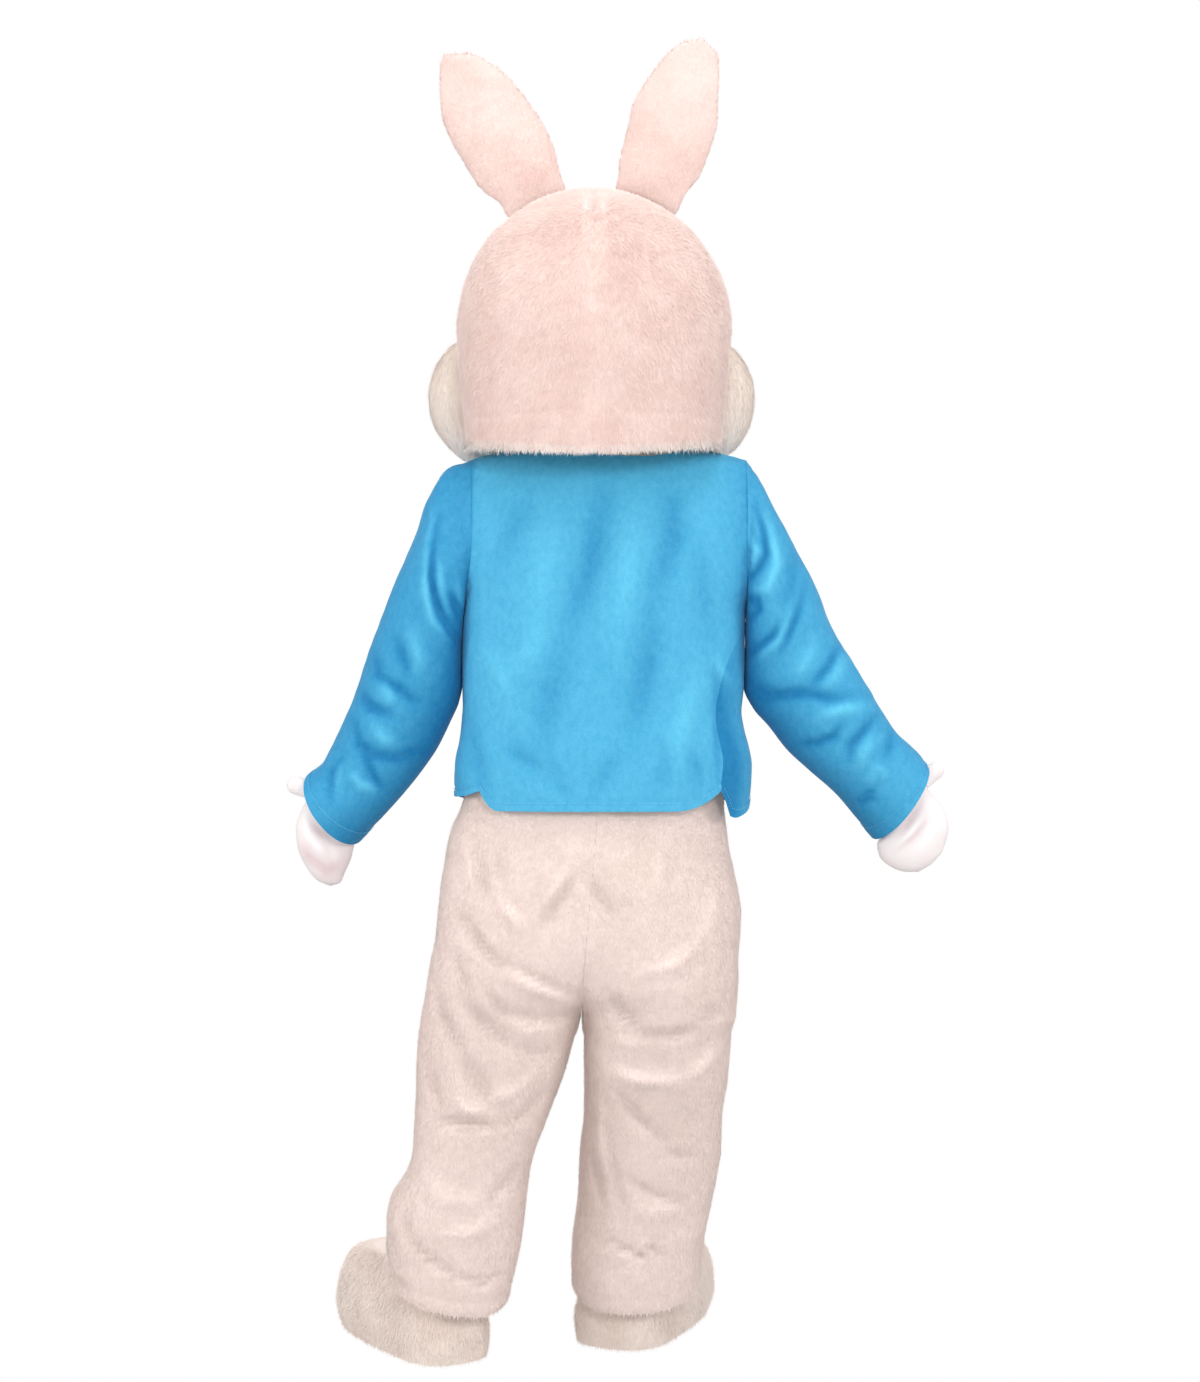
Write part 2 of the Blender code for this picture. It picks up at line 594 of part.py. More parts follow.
def build_jacket(blue):
    rows = LOWER_ROWS + UPPER_ROWS
    shell("jacket_back", skin(jacket_back_surface, JACKET_WALL, 1, "s0 s1 ridge"), 20, rows, blue)
    for side, turn in SIDES.items():
        def front(s, t, side=side):
            return jacket_front_surface(side, s, t)
        shell("jacket_front_" + side, skin(front, JACKET_WALL, -turn, "s0 ridge"), 10, rows, blue)

        def sleeve(s, t, side=side):
            return sleeve_surface(side, s, t)
        shell("sleeve_" + side, skin(sleeve, JACKET_WALL, turn, "armhole"), 2 * UPPER_ROWS, 14, blue)


# ---------------------------------------------------------------- suit

BODY_COLUMNS = "rise height centre left right share front back power slope arm"
BODY_ROWS = (
    (0.545, 0.545, 0.029, 0.252, 0.245, 0.00, 0.118, 0.112, 2.3, 0.000, 0),
    (0.600, 0.600, 0.026, 0.245, 0.244, 0.22, 0.126, 0.128, 2.3, 0.000, 0),
    (0.676, 0.676, 0.020, 0.238, 0.242, 0.58, 0.132, 0.135, 2.3, 0.000, 0),
    (0.738, 0.738, 0.014, 0.238, 0.232, 0.85, 0.135, 0.134, 2.3, 0.000, 0),
    (0.801, 0.801, 0.008, 0.236, 0.213, 1.00, 0.136, 0.126, 2.3, 0.000, 0),
    (0.835, 0.835, 0.006, 0.229, 0.206, 1.00, 0.135, 0.118, 2.3, 0.000, 0),
    (0.870, 0.870, 0.004, 0.215, 0.200, 1.00, 0.133, 0.111, 2.3, 0.000, 0),
    (0.930, 0.930, 0.000, 0.206, 0.198, 1.00, 0.131, 0.109, 2.3, 0.000, 0),
    (1.050, 1.050, 0.000, 0.197, 0.200, 1.00, 0.124, 0.106, 2.3, 0.000, 0),
    (1.120, 1.120, 0.000, 0.196, 0.203, 1.00, 0.119, 0.105, 2.3, 0.000, 6),
    (1.170, 1.170, 0.000, 0.198, 0.208, 1.00, 0.114, 0.103, 2.3, 0.002, 26),
    (1.250, 1.250, 0.000, 0.206, 0.218, 1.00, 0.106, 0.099, 2.3, 0.008, 36),
    (1.310, 1.308, 0.000, 0.212, 0.224, 1.00, 0.095, 0.089, 2.3, 0.018, 38),
    (1.370, 1.362, 0.000, 0.214, 0.228, 1.00, 0.074, 0.070, 2.3, 0.030, 38),
    (1.420, 1.404, 0.000, 0.214, 0.228, 1.00, 0.048, 0.046, 2.3, 0.040, 38),
    (1.460, 1.430, 0.000, 0.214, 0.228, 1.00, 0.022, 0.022, 2.3, 0.045, 38),
    (1.490, 1.438, 0.000, 0.214, 0.228, 1.00, 0.000, 0.000, 2.3, 0.046, 38),
)
LEG_COLUMNS = "rise centre outer inner middle front back"
LEG_ROWS = {
    "left": (
        (0.122, 0.029, 0.305, 0.112, -0.026, 0.102, 0.101),
        (0.150, 0.029, 0.309, 0.105, -0.024, 0.102, 0.101),
        (0.206, 0.029, 0.309, 0.091, -0.020, 0.103, 0.101),
        (0.237, 0.029, 0.304, 0.087, -0.018, 0.103, 0.100),
        (0.269, 0.029, 0.291, 0.083, -0.016, 0.102, 0.099),
        (0.300, 0.029, 0.276, 0.078, -0.013, 0.101, 0.098),
        (0.331, 0.029, 0.267, 0.070, -0.010, 0.100, 0.098),
        (0.394, 0.029, 0.263, 0.046, -0.006, 0.102, 0.099),
        (0.457, 0.029, 0.261, 0.023, -0.003, 0.107, 0.103),
        (0.519, 0.029, 0.256, 0.006, -0.001, 0.114, 0.109),
    ),
    "right": (
        (0.122, 0.029, 0.196, -0.019, -0.112, 0.096, 0.100),
        (0.150, 0.029, 0.197, -0.020, -0.107, 0.098, 0.101),
        (0.184, 0.029, 0.200, -0.018, -0.102, 0.100, 0.101),
        (0.250, 0.029, 0.212, -0.009, -0.088, 0.100, 0.100),
        (0.317, 0.029, 0.223, -0.006, -0.070, 0.100, 0.099),
        (0.384, 0.029, 0.225, 0.001, -0.050, 0.103, 0.100),
        (0.450, 0.029, 0.233, 0.0015, -0.028, 0.108, 0.104),
        (0.519, 0.029, 0.238, 0.0015, -0.008, 0.115, 0.109),
    ),
}
SUIT_TOP = 1.490
SUIT_WAIST = 0.870         # the rows of faces are close below this height, and wide under the jacket
LEG_ROW_COUNT = 24
TORSO_ROW_COUNT = 8
SUIT_HEM = 0.122
CROTCH = 0.545
HEMS = {                   # a leg's hem: its own shift, its rise over the instep and its drop at the heel
    "left": {"shift": 0.0, "rise": 0.056, "drop": 0.038, "turn": math.radians(36)},
    "right": {"shift": -0.015, "rise": 0.071, "drop": 0.039, "turn": math.radians(12)},
}
HEM_TILT_FADE = 0.20
SUIT_NECK_SHARE = 0.50
SUIT_BACK_NECK_DROP = 0.085
SUIT_FRONT_NECK_DROP = 0.125
SUIT_SIDE_FADE = 1.6       # the folds fade out towards the side seams
SUIT_FOLDS_BACK = (
    # seat: an inverted V below the waist
    (0.010, 0.800, 0.040, 0.760, 0.072, 0.700, 0.016, -0.0060),
    (0.010, 0.800, -0.012, 0.750, -0.030, 0.715, 0.016, -0.0060),
    (0.110, 0.790, 0.095, 0.740, 0.070, 0.660, 0.020, 0.0050),
    (-0.075, 0.780, -0.065, 0.720, -0.040, 0.650, 0.020, 0.0050),
    # left hip and thigh, swept in to the crotch
    (0.214, 0.850, 0.210, 0.800, 0.190, 0.750, 0.014, -0.0065),
    (0.172, 0.850, 0.170, 0.780, 0.150, 0.720, 0.015, -0.0060),
    (0.235, 0.690, 0.150, 0.610, 0.040, 0.560, 0.017, -0.0080),
    (0.250, 0.630, 0.170, 0.560, 0.060, 0.535, 0.017, 0.0065),
    (0.262, 0.590, 0.170, 0.510, 0.070, 0.500, 0.017, -0.0080),
    (0.270, 0.500, 0.190, 0.450, 0.095, 0.460, 0.018, 0.0060),
    (0.272, 0.440, 0.200, 0.400, 0.110, 0.420, 0.017, -0.0060),
    (0.275, 0.360, 0.210, 0.330, 0.130, 0.360, 0.018, 0.0055),
    (0.285, 0.300, 0.220, 0.262, 0.150, 0.285, 0.016, -0.0065),
    (0.310, 0.225, 0.240, 0.200, 0.165, 0.225, 0.016, 0.0065),
    (0.310, 0.170, 0.240, 0.145, 0.170, 0.160, 0.014, -0.0055),
    # right hip and leg
    (-0.190, 0.800, -0.165, 0.740, -0.130, 0.690, 0.016, -0.0055),
    (-0.200, 0.650, -0.120, 0.570, -0.020, 0.545, 0.016, 0.0050),
    (-0.190, 0.560, -0.120, 0.520, -0.035, 0.525, 0.015, -0.0070),
    (-0.005, 0.480, 0.000, 0.360, 0.010, 0.220, 0.014, -0.0060),
    (-0.045, 0.470, -0.030, 0.330, -0.020, 0.200, 0.018, 0.0055),
    (-0.170, 0.450, -0.110, 0.425, -0.030, 0.435, 0.017, 0.0050),
    (-0.165, 0.340, -0.110, 0.310, -0.040, 0.330, 0.016, -0.0055),
    (-0.150, 0.240, -0.095, 0.215, -0.030, 0.240, 0.016, 0.0055),
    (-0.140, 0.180, -0.090, 0.160, -0.025, 0.170, 0.013, -0.0055),
)
SUIT_FOLDS_FRONT = (
    (0.010, 0.700, 0.060, 0.610, 0.140, 0.570, 0.020, -0.0065),
    (0.010, 0.700, -0.045, 0.620, -0.120, 0.580, 0.020, -0.0065),
    (0.080, 0.540, 0.160, 0.500, 0.240, 0.520, 0.020, 0.0060),
    (-0.010, 0.540, -0.100, 0.500, -0.180, 0.520, 0.020, 0.0060),
    (0.120, 0.370, 0.190, 0.340, 0.270, 0.370, 0.018, -0.0060),
    (0.020, 0.360, -0.080, 0.330, -0.170, 0.360, 0.018, -0.0060),
    (0.140, 0.240, 0.220, 0.215, 0.300, 0.240, 0.018, 0.0060),
    (0.020, 0.240, -0.070, 0.220, -0.150, 0.240, 0.018, 0.0060),
    (0.080, 0.860, 0.090, 0.780, 0.120, 0.720, 0.020, -0.0050),
    (-0.075, 0.850, -0.080, 0.780, -0.110, 0.710, 0.020, -0.0050),
)


def suit_table(side):
    """The rows of one half of the suit, from its leg's hem to its shoulder."""
    body = Sections(BODY_COLUMNS, BODY_ROWS)
    rows = []
    for rise, centre, outer, inner, middle, front, back in LEG_ROWS[side]:
        rows.append((rise, rise, centre, outer, inner, middle, front, back, 2.3, 0.0, 0))
    for values in BODY_ROWS:
        row = body.at(values[0])
        outer = row.left if side == "left" else row.right
        inner = -row.share * outer
        rows.append((row.rise, row.height, row.centre, outer, inner, 0.0, row.front, row.back,
                     row.power, row.slope, row.arm))
    return Sections("rise height centre outer inner middle front back power slope arm", rows)


SUIT = {side: suit_table(side) for side in SIDES}


def centre_angle(row):
    """The angle at which a half's section meets the centre seam: a half turn on the leg below the crotch."""
    reach = (row.outer - row.inner) / 2
    middle = (row.outer + row.inner) / 2
    share = min(1.0, max(0.0, middle / reach))
    if row.inner >= 0 or row.rise < CROTCH:
        share = 1.0
    return math.pi - math.acos(share ** (row.power / 2))


def suit_rise(facing, s, t):
    waist = LEG_ROW_COUNT / (LEG_ROW_COUNT + TORSO_ROW_COUNT)
    if t < waist:
        return mixed(SUIT_HEM, SUIT_WAIST, t / waist)
    neck = max(0.0, 1 - ((1 - s) / SUIT_NECK_SHARE) ** 2)
    drop = SUIT_BACK_NECK_DROP if facing > 0 else SUIT_FRONT_NECK_DROP
    share = (t - waist) / (1 - waist)
    return mixed(SUIT_WAIST, SUIT_TOP, share) - drop * math.sqrt(neck) * share * share


def suit_surface(side, facing, s, t):
    """A half of the suit: s runs from its side seam to its centre seam or inseam, t from hem to neck.

    facing is 1 for the back panel and -1 for the front panel.
    """
    rise = suit_rise(facing, s, t)
    row = SUIT[side].at(rise)
    start = math.radians(row.arm)
    angle = mixed(start, centre_angle(row), s)
    power = 2.0 / row.power
    reach = (row.outer - row.inner) / 2
    middle = (row.outer + row.inner) / 2
    local = middle + reach * powered(math.cos(angle), power)
    if rise >= CROTCH:
        local = max(0.0, local)
    depth = row.back if facing > 0 else row.front
    y = facing * depth * powered(math.sin(angle), power)
    x = row.centre * SIDES[side] + local + HALF_GAP
    height = row.height - row.slope * (abs(x) / SHOULDER_REACH[SIDES[side]]) ** 1.5
    hem = HEMS[side]
    towards_toe = math.cos(angle) * math.sin(hem["turn"])
    towards_toe -= facing * abs(math.sin(angle)) * math.cos(hem["turn"])
    tilt = towards_toe * (hem["rise"] if towards_toe > 0 else hem["drop"])
    height += (hem["shift"] + tilt) * (1 - eased((rise - SUIT_HEM) / HEM_TILT_FADE))
    x *= SIDES[side]
    folds = SUIT_FOLDS_BACK if facing > 0 else SUIT_FOLDS_FRONT
    out = fold_height(folds, x, height) * min(1.0, abs(math.sin(angle)) * SUIT_SIDE_FADE)
    y += facing * out
    return Vector((x, y + row.middle, height))


def build_suit(plush):
    for side, turn in SIDES.items():
        for panel, facing, columns in (("back", 1, 10), ("front", -1, 8)):
            def half(s, t, side=side, facing=facing):
                return suit_surface(side, facing, s, t)
            place = skin(half, SUIT_WALL, turn * facing, "s0 s1 ridge")
            rows = LEG_ROW_COUNT + TORSO_ROW_COUNT
            shell("suit_" + panel + "_" + side, place, columns, rows, plush)


# ---------------------------------------------------------------- gloves

THUMB_GAP = 0.0008
GLOVE_COLUMNS = "share outer_x outer_h inner_x inner_h middle depth"
GLOVE_ROWS = {
    "left": (
        (0.00, 0.430, 0.925, 0.350, 0.868, -0.030, 0.026),
        (0.20, 0.452, 0.893, 0.364, 0.842, -0.031, 0.028),
        (0.38, 0.472, 0.863, 0.381, 0.825, -0.033, 0.030),
        (0.55, 0.481, 0.832, 0.388, 0.805, -0.035, 0.030),
        (0.70, 0.478, 0.802, 0.393, 0.785, -0.037, 0.028),
        (0.85, 0.464, 0.770, 0.403, 0.763, -0.039, 0.022),
        (0.95, 0.446, 0.749, 0.411, 0.746, -0.040, 0.012),
        (1.00, 0.427, 0.741, 0.427, 0.741, -0.040, 0.0000),
    ),
    "right": (
        (0.00, 0.486, 0.945, 0.412, 0.880, -0.030, 0.026),
        (0.20, 0.505, 0.918, 0.436, 0.848, -0.032, 0.028),
        (0.38, 0.521, 0.893, 0.444, 0.826, -0.035, 0.030),
        (0.55, 0.543, 0.865, 0.438, 0.806, -0.038, 0.030),
        (0.70, 0.552, 0.834, 0.442, 0.788, -0.041, 0.028),
        (0.85, 0.545, 0.801, 0.460, 0.771, -0.044, 0.022),
        (0.95, 0.527, 0.777, 0.486, 0.763, -0.045, 0.012),
        (1.00, 0.505, 0.763, 0.505, 0.763, -0.045, 0.0000),
    ),
}
GLOVES = {side: Sections(GLOVE_COLUMNS, rows) for side, rows in GLOVE_ROWS.items()}
THUMBS = {
    "left": {"row": 0.21, "off": -0.005, "tip": (0.4950, -0.046, 0.9060), "radius": 0.0153},
    "right": {"row": 0.27, "off": -0.007, "tip": (0.5420, -0.055, 0.9320), "radius": 0.0145},
}


def glove_surface(side, facing, s, t):
    """s runs from the thumb's edge to the other edge; t from the cuff to the tip."""
    row = GLOVES[side].at(t)
    angle = math.pi * s
    outer = Vector((row.outer_x, 0, row.outer_h))
    inner = Vector((row.inner_x, 0, row.inner_h))
    point = (outer + inner) / 2 + (outer - inner) / 2 * math.cos(angle)
    y = row.middle + facing * row.depth * powered(math.sin(angle), 0.8)
    return Vector((point.x * SIDES[side], y, point.z))


def build_gloves(white):
    for side, turn in SIDES.items():
        for panel, facing in (("back", 1), ("palm", -1)):
            def half(s, t, side=side, facing=facing):
                return glove_surface(side, facing, s, t)
            pole = (-UP, Vector((0, facing, 0)))
            place = skin(half, GLOVE_WALL, -turn * facing, "s0 s1", pole)
            shell("glove_" + side + "_" + panel, place, 7, 8, white)
        build_thumb(side, turn, white)


def mitten_edge(side, share, y):
    """A point just off a mitten's thumb edge, at a share of its length and a depth."""
    row = GLOVES[side].at(share)
    middle = Vector(((row.outer_x + row.inner_x) / 2, 0, (row.outer_h + row.inner_h) / 2))
    half = Vector((row.outer_x, 0, row.outer_h)) - middle
    sine = min(1.0, abs((y - row.middle) / row.depth) ** 1.25)
    point = middle + half * (math.sqrt(1 - sine * sine) + THUMB_GAP / half.length)
    return Vector((point.x, y, point.z))


def build_thumb(side, turn, white):
    """A short closed finger, its open root lying on the mitten's edge."""
    size = THUMBS[side]
    radius = size["radius"]
    middle_y = GLOVES[side].at(size["row"]).middle + size["off"]
    root = mitten_edge(side, size["row"], middle_y)
    axis = Vector(size["tip"]) - root
    heading = axis.normalized()
    straight = axis.length - radius
    ahead = mitten_edge(side, size["row"] + 0.1, middle_y) - mitten_edge(side, size["row"] - 0.1, middle_y)
    share_step = 0.2 / ahead.length
    down = (ahead - heading * ahead.dot(heading)).normalized()
    across = heading.cross(down)

    def finger(s, t, thick):
        rounding = QUARTER * max(0.0, (t - 0.4) / 0.6)
        reach = straight * min(1.0, t / 0.4) + thick * math.sin(rounding)
        angle = 2 * math.pi * s
        spread = (down * math.cos(angle) + across * math.sin(angle)) * thick
        point = root + heading * reach + spread * math.cos(rounding)
        foot = root + spread
        share = size["row"] + (foot - root).dot(down) * share_step
        landing = mitten_edge(side, share, foot.y)
        point += (landing - foot) * (1 - eased(t / 0.6))
        return Vector((point.x * turn, point.y, point.z))

    def place(s, t):
        return finger(s, t, radius), finger(s, t, radius - GLOVE_WALL)

    shell("glove_" + side + "_thumb", place, 10, 5, white)


# ---------------------------------------------------------------- shoes

SHOE = {
    "left": {"heel": (0.2045, 0.026), "toe_out": math.radians(36), "half_width": 0.077, "flare": 0.02},
    "right": {"heel": (-0.005, -0.057), "toe_out": math.radians(25.5), "half_width": 0.084, "flare": 0.02},
}
SHOE_HEEL_LENGTH = 0.082   # from the ankle's axis back to the heel
SHOE_TOE_LENGTH = 0.290    # and forward to the toe
SHOE_HEIGHT = 0.158
SHOE_HEEL_HEIGHT = 0.098
SHOE_OPENING = 0.044
SHOE_OPENING_STRETCH = 0.006       # the opening is this much longer than it is wide
SHOE_BOXINESS = 0.80       # below 1 the plan is squarer than an oval
SHOE_SIDE_POWER = 0.80     # how full the sides stand, and the toe
SHOE_TOE_POWER = 0.46
SHOE_TUCK = 0.07           # the share by which the walls draw in at the floor
SHOE_TUCK_HEIGHT = 0.045
SHOE_FLOOR_PROFILE = 0.035 # the upper's lowest and highest profile
SHOE_TOP_PROFILE = 0.97
SOLE_INSET = 1.7           # the sole stops this many walls inside the upper's floor edge


def shoe_point(side, angle, profile):
    """angle 0 is the toe; profile 0 the floor's edge and 1 the ankle's opening."""
    size = SHOE[side]
    forward = math.cos(angle)
    length = SHOE_TOE_LENGTH if forward > 0 else SHOE_HEEL_LENGTH
    along = length * powered(forward, SHOE_BOXINESS)
    width = size["half_width"] * (1 + size["flare"] * forward)
    across = width * powered(math.sin(angle), SHOE_BOXINESS)
    rise = QUARTER * profile
    toe = max(0.0, forward)
    plan_power = mixed(SHOE_SIDE_POWER, SHOE_TOE_POWER, toe)
    plan = math.cos(rise) ** plan_power if rise < QUARTER else 0.0
    height = mixed(SHOE_HEEL_HEIGHT, SHOE_HEIGHT, eased(toe + 0.30)) * math.sin(rise) ** 0.80
    tuck = 1 - SHOE_TUCK * max(0.0, 1 - height / SHOE_TUCK_HEIGHT) ** 2
    hole_along = (SHOE_OPENING + SHOE_OPENING_STRETCH) * forward
    hole_across = SHOE_OPENING * math.sin(angle)
    along = mixed(hole_along, along, plan) * tuck
    across = mixed(hole_across, across, plan) * tuck
    return along, across, height


def shoe_place(side, along, across, height):
    """From the shoe's own axes to the part's."""
    size = SHOE[side]
    turn = SIDES[side]
    out = size["toe_out"]
    heel_x, heel_y = size["heel"]
    forward = Vector((math.sin(out) * turn, -math.cos(out), 0))
    sideways = Vector((math.cos(out) * turn, math.sin(out), 0))
    ankle = Vector((heel_x, heel_y, 0)) + forward * SHOE_HEEL_LENGTH
    return ankle + forward * along + sideways * across + Vector((0, 0, height))


def build_shoes(plush, sole_cloth):
    for side, turn in SIDES.items():
        def upper(s, t, side=side):
            profile = mixed(SHOE_FLOOR_PROFILE, SHOE_TOP_PROFILE, t)
            along, across, height = shoe_point(side, 2 * math.pi * s, profile)
            return shoe_place(side, along, across, height)
        shell("shoe_" + side + "_upper", skin(upper, SHOE_WALL, turn), 22, 8, plush)

        def sole(s, t, side=side):
            along, across, height = shoe_point(side, 2 * math.pi * s, SHOE_FLOOR_PROFILE)
            inside = t * (1 - SHOE_WALL * SOLE_INSET / SHOE[side]["half_width"])
            top = shoe_place(side, along * inside, across * inside, SOLE_THICKNESS)
            return top, Vector((top.x, top.y, 0.0))
        shell("shoe_" + side + "_sole", sole, 22, 1, sole_cloth)


# ---------------------------------------------------------------- the whole costume

def build():
    for thing in list(bpy.data.objects):
        bpy.data.objects.remove(thing, do_unlink=True)
    plush = material("white_plush", (0.83, 0.68, 0.64), 0.95)
    head_plush = material("head_plush", (0.90, 0.72, 0.66), 0.95)
    cream = material("cream_plush", (0.90, 0.80, 0.72), 0.95)
    pink = material("pink_plush", (0.86, 0.52, 0.52), 0.9)
    dark = material("eye_gloss", (0.02, 0.02, 0.025), 0.2)
    blue = material("blue_cloth", (0.09, 0.45, 0.80), 0.8)
    white = material("glove_cloth", (0.90, 0.82, 0.84), 0.7)
    sole_cloth = material("sole_cloth", (0.55, 0.50, 0.48), 0.9)
    build_head(head_plush, cream, pink, dark)
    build_jacket(blue)
    build_suit(plush)
    build_gloves(white)
    build_shoes(plush, sole_cloth)


build()
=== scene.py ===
import math
from functools import partial
from types import SimpleNamespace

import bmesh
import bpy
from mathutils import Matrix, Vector, noise


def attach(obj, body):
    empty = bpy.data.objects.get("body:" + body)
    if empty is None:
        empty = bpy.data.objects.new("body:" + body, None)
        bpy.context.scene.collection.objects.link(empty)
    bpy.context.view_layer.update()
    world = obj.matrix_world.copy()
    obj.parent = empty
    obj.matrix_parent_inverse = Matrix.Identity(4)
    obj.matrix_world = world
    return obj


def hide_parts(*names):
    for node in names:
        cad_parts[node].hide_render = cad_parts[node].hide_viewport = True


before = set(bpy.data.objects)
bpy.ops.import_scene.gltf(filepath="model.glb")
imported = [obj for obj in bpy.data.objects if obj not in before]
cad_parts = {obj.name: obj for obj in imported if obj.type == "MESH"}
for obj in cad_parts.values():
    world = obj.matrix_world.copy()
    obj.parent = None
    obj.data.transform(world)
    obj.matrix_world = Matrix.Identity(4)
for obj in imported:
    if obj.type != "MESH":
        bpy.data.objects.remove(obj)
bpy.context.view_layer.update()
holdHeight = 1.400      # the tables' heights are above the soles, the frame's from the shoulders
stepSize = 0.002        # how far along a surface its slope is taken
quarter = math.pi / 2
circle = 2 * math.pi
sides = {"left": 1, "right": -1}


# smooth tables: the first column is the key, and the rest are read between the rows
class ShapeTable:
    def __init__(self, names, rows):
        self.names = names
        self.rows = sorted(rows)
        self.slopes = [self.findSlopes(column) for column in range(len(names))]
        self.known = {}

    def findSlopes(self, column):
        steps = []
        for low, high in zip(self.rows, self.rows[1:]):
            steps.append((high[column] - low[column]) / (high[0] - low[0]))
        slopes = [steps[0]]
        for before, after in zip(steps, steps[1:]):
            rising = before * after > 0
            slopes.append(2 * before * after / (before + after) if rising else 0.0)
        return slopes + [steps[-1]]

    def at(self, key):
        if key not in self.known:
            self.known[key] = self.between(key)
        return self.known[key]

    def between(self, key):
        place = 0
        while place < len(self.rows) - 2 and key > self.rows[place + 1][0]:
            place += 1
        low, high = self.rows[place], self.rows[place + 1]
        span = high[0] - low[0]
        share = (key - low[0]) / span
        values = {}
        for column, name in enumerate(self.names):
            start, end = self.slopes[column][place], self.slopes[column][place + 1]
            rise = high[column] - low[column]
            if share < 0:
                values[name] = low[column] + start * (key - low[0])
            elif share > 1:
                values[name] = high[column] + end * (key - high[0])
            else:
                bend = (1 - share) * (start * span - rise) + share * (rise - end * span)
                values[name] = low[column] + rise * share + share * (1 - share) * bend
        return SimpleNamespace(**values)


def readTable(columns, rows):
    # lengths are in millimetres, and a star marks a column of shares or degrees
    names = columns.split()
    units = [1 if name.endswith("*") else 1000 for name in names]
    metres = [[round(value / unit, 6) for value, unit in zip(row, units)] for row in rows]
    return ShapeTable([name.rstrip("*") for name in names], metres)


def powered(value, power):
    return math.copysign(abs(value) ** power, value)


def mixed(low, high, share):
    return low + (high - low) * share


def eased(share):
    share = min(1.0, max(0.0, share))
    return share * share * (3 - 2 * share)


def bump(distance, width):
    return math.exp(-(distance / width) ** 2)


def dome(across):
    return math.sqrt(max(0.0, 1 - across * across))


def ripple(point, size, seed):
    return noise.noise(Vector((point.x / size + seed, point.y / size, point.z / size)))


# how unevenly each cloth lies: the height, size and seed of its waves
waves = {
    "head": ((0.0022, 0.085, 3.0), (0.0008, 0.022, 8.0)),
    "pad": ((0.0012, 0.030, 5.0),),
    "jacketBack": ((0.0010, 0.045, 2.0), (0.0007, 0.020, 6.0)),
    "jacketFront": ((0.0012, 0.045, 7.0), (0.0007, 0.020, 9.0)),
    "sleeve": ((0.0016, 0.040, 5.0), (0.0008, 0.018, 1.0)),
    "suit": ((0.0030, 0.075, 11.0), (0.0012, 0.028, 13.0)),
    "mitten": ((0.0007, 0.016, 3.0),),
    "thumb": ((0.0004, 0.012, 0.0),),
    "shoe": ((0.0035, 0.050, 4.0),),
}


def uneven(kind, point, start=0.0):
    return sum((height * ripple(point, size, seed) for height, size, seed in waves[kind]), start)


def seamDistance(s, width):
    return min(s, 1 - s) * width


# folds: x and height of each point of a bent line, then its width and depth, all in millimetres
def readFolds(gain, rows, tightness=1.0):
    folds = []
    for row in rows:
        *line, width, depth = [round(value / 1000, 6) for value in row]
        width *= tightness
        reach = 2.6 * width
        across, heights = line[::2], line[1::2]
        box = (min(across) - reach, max(across) + reach, min(heights) - reach, max(heights) + reach)
        points = list(zip(across, heights))
        folds.append((box, list(zip(points, points[1:])), width, depth * gain))
    return folds


def foldRise(folds, x, height):
    # a fold is deepest at the middle of its line and fades at its ends
    total = 0.0
    for (lowX, highX, lowH, highH), parts, width, depth in folds:
        if not (lowX < x < highX and lowH < height < highH):
            continue
        nearest, place = 9.0, 0.0
        for part, ((ax, ah), (bx, bh)) in enumerate(parts):
            run = (bx - ax) ** 2 + (bh - ah) ** 2
            share = ((x - ax) * (bx - ax) + (height - ah) * (bh - ah)) / run
            share = min(1.0, max(0.0, share))
            distance = math.hypot(x - mixed(ax, bx, share), height - mixed(ah, bh, share))
            if distance < nearest:
                nearest, place = distance, (part + share) / len(parts)
        total += depth * (0.2 + 0.8 * math.sin(math.pi * place)) * bump(nearest, width)
    return total


# making a piece
def addThing(name, data):
    thing = bpy.data.objects.new(name, data)
    bpy.context.scene.collection.objects.link(thing)
    return thing


def placeMesh(name, mesh):
    bmesh.ops.translate(mesh, verts=mesh.verts[:], vec=(0, 0, -holdHeight))
    data = bpy.data.meshes.new(name)
    mesh.to_mesh(data)
    mesh.free()
    return addThing(name, data)


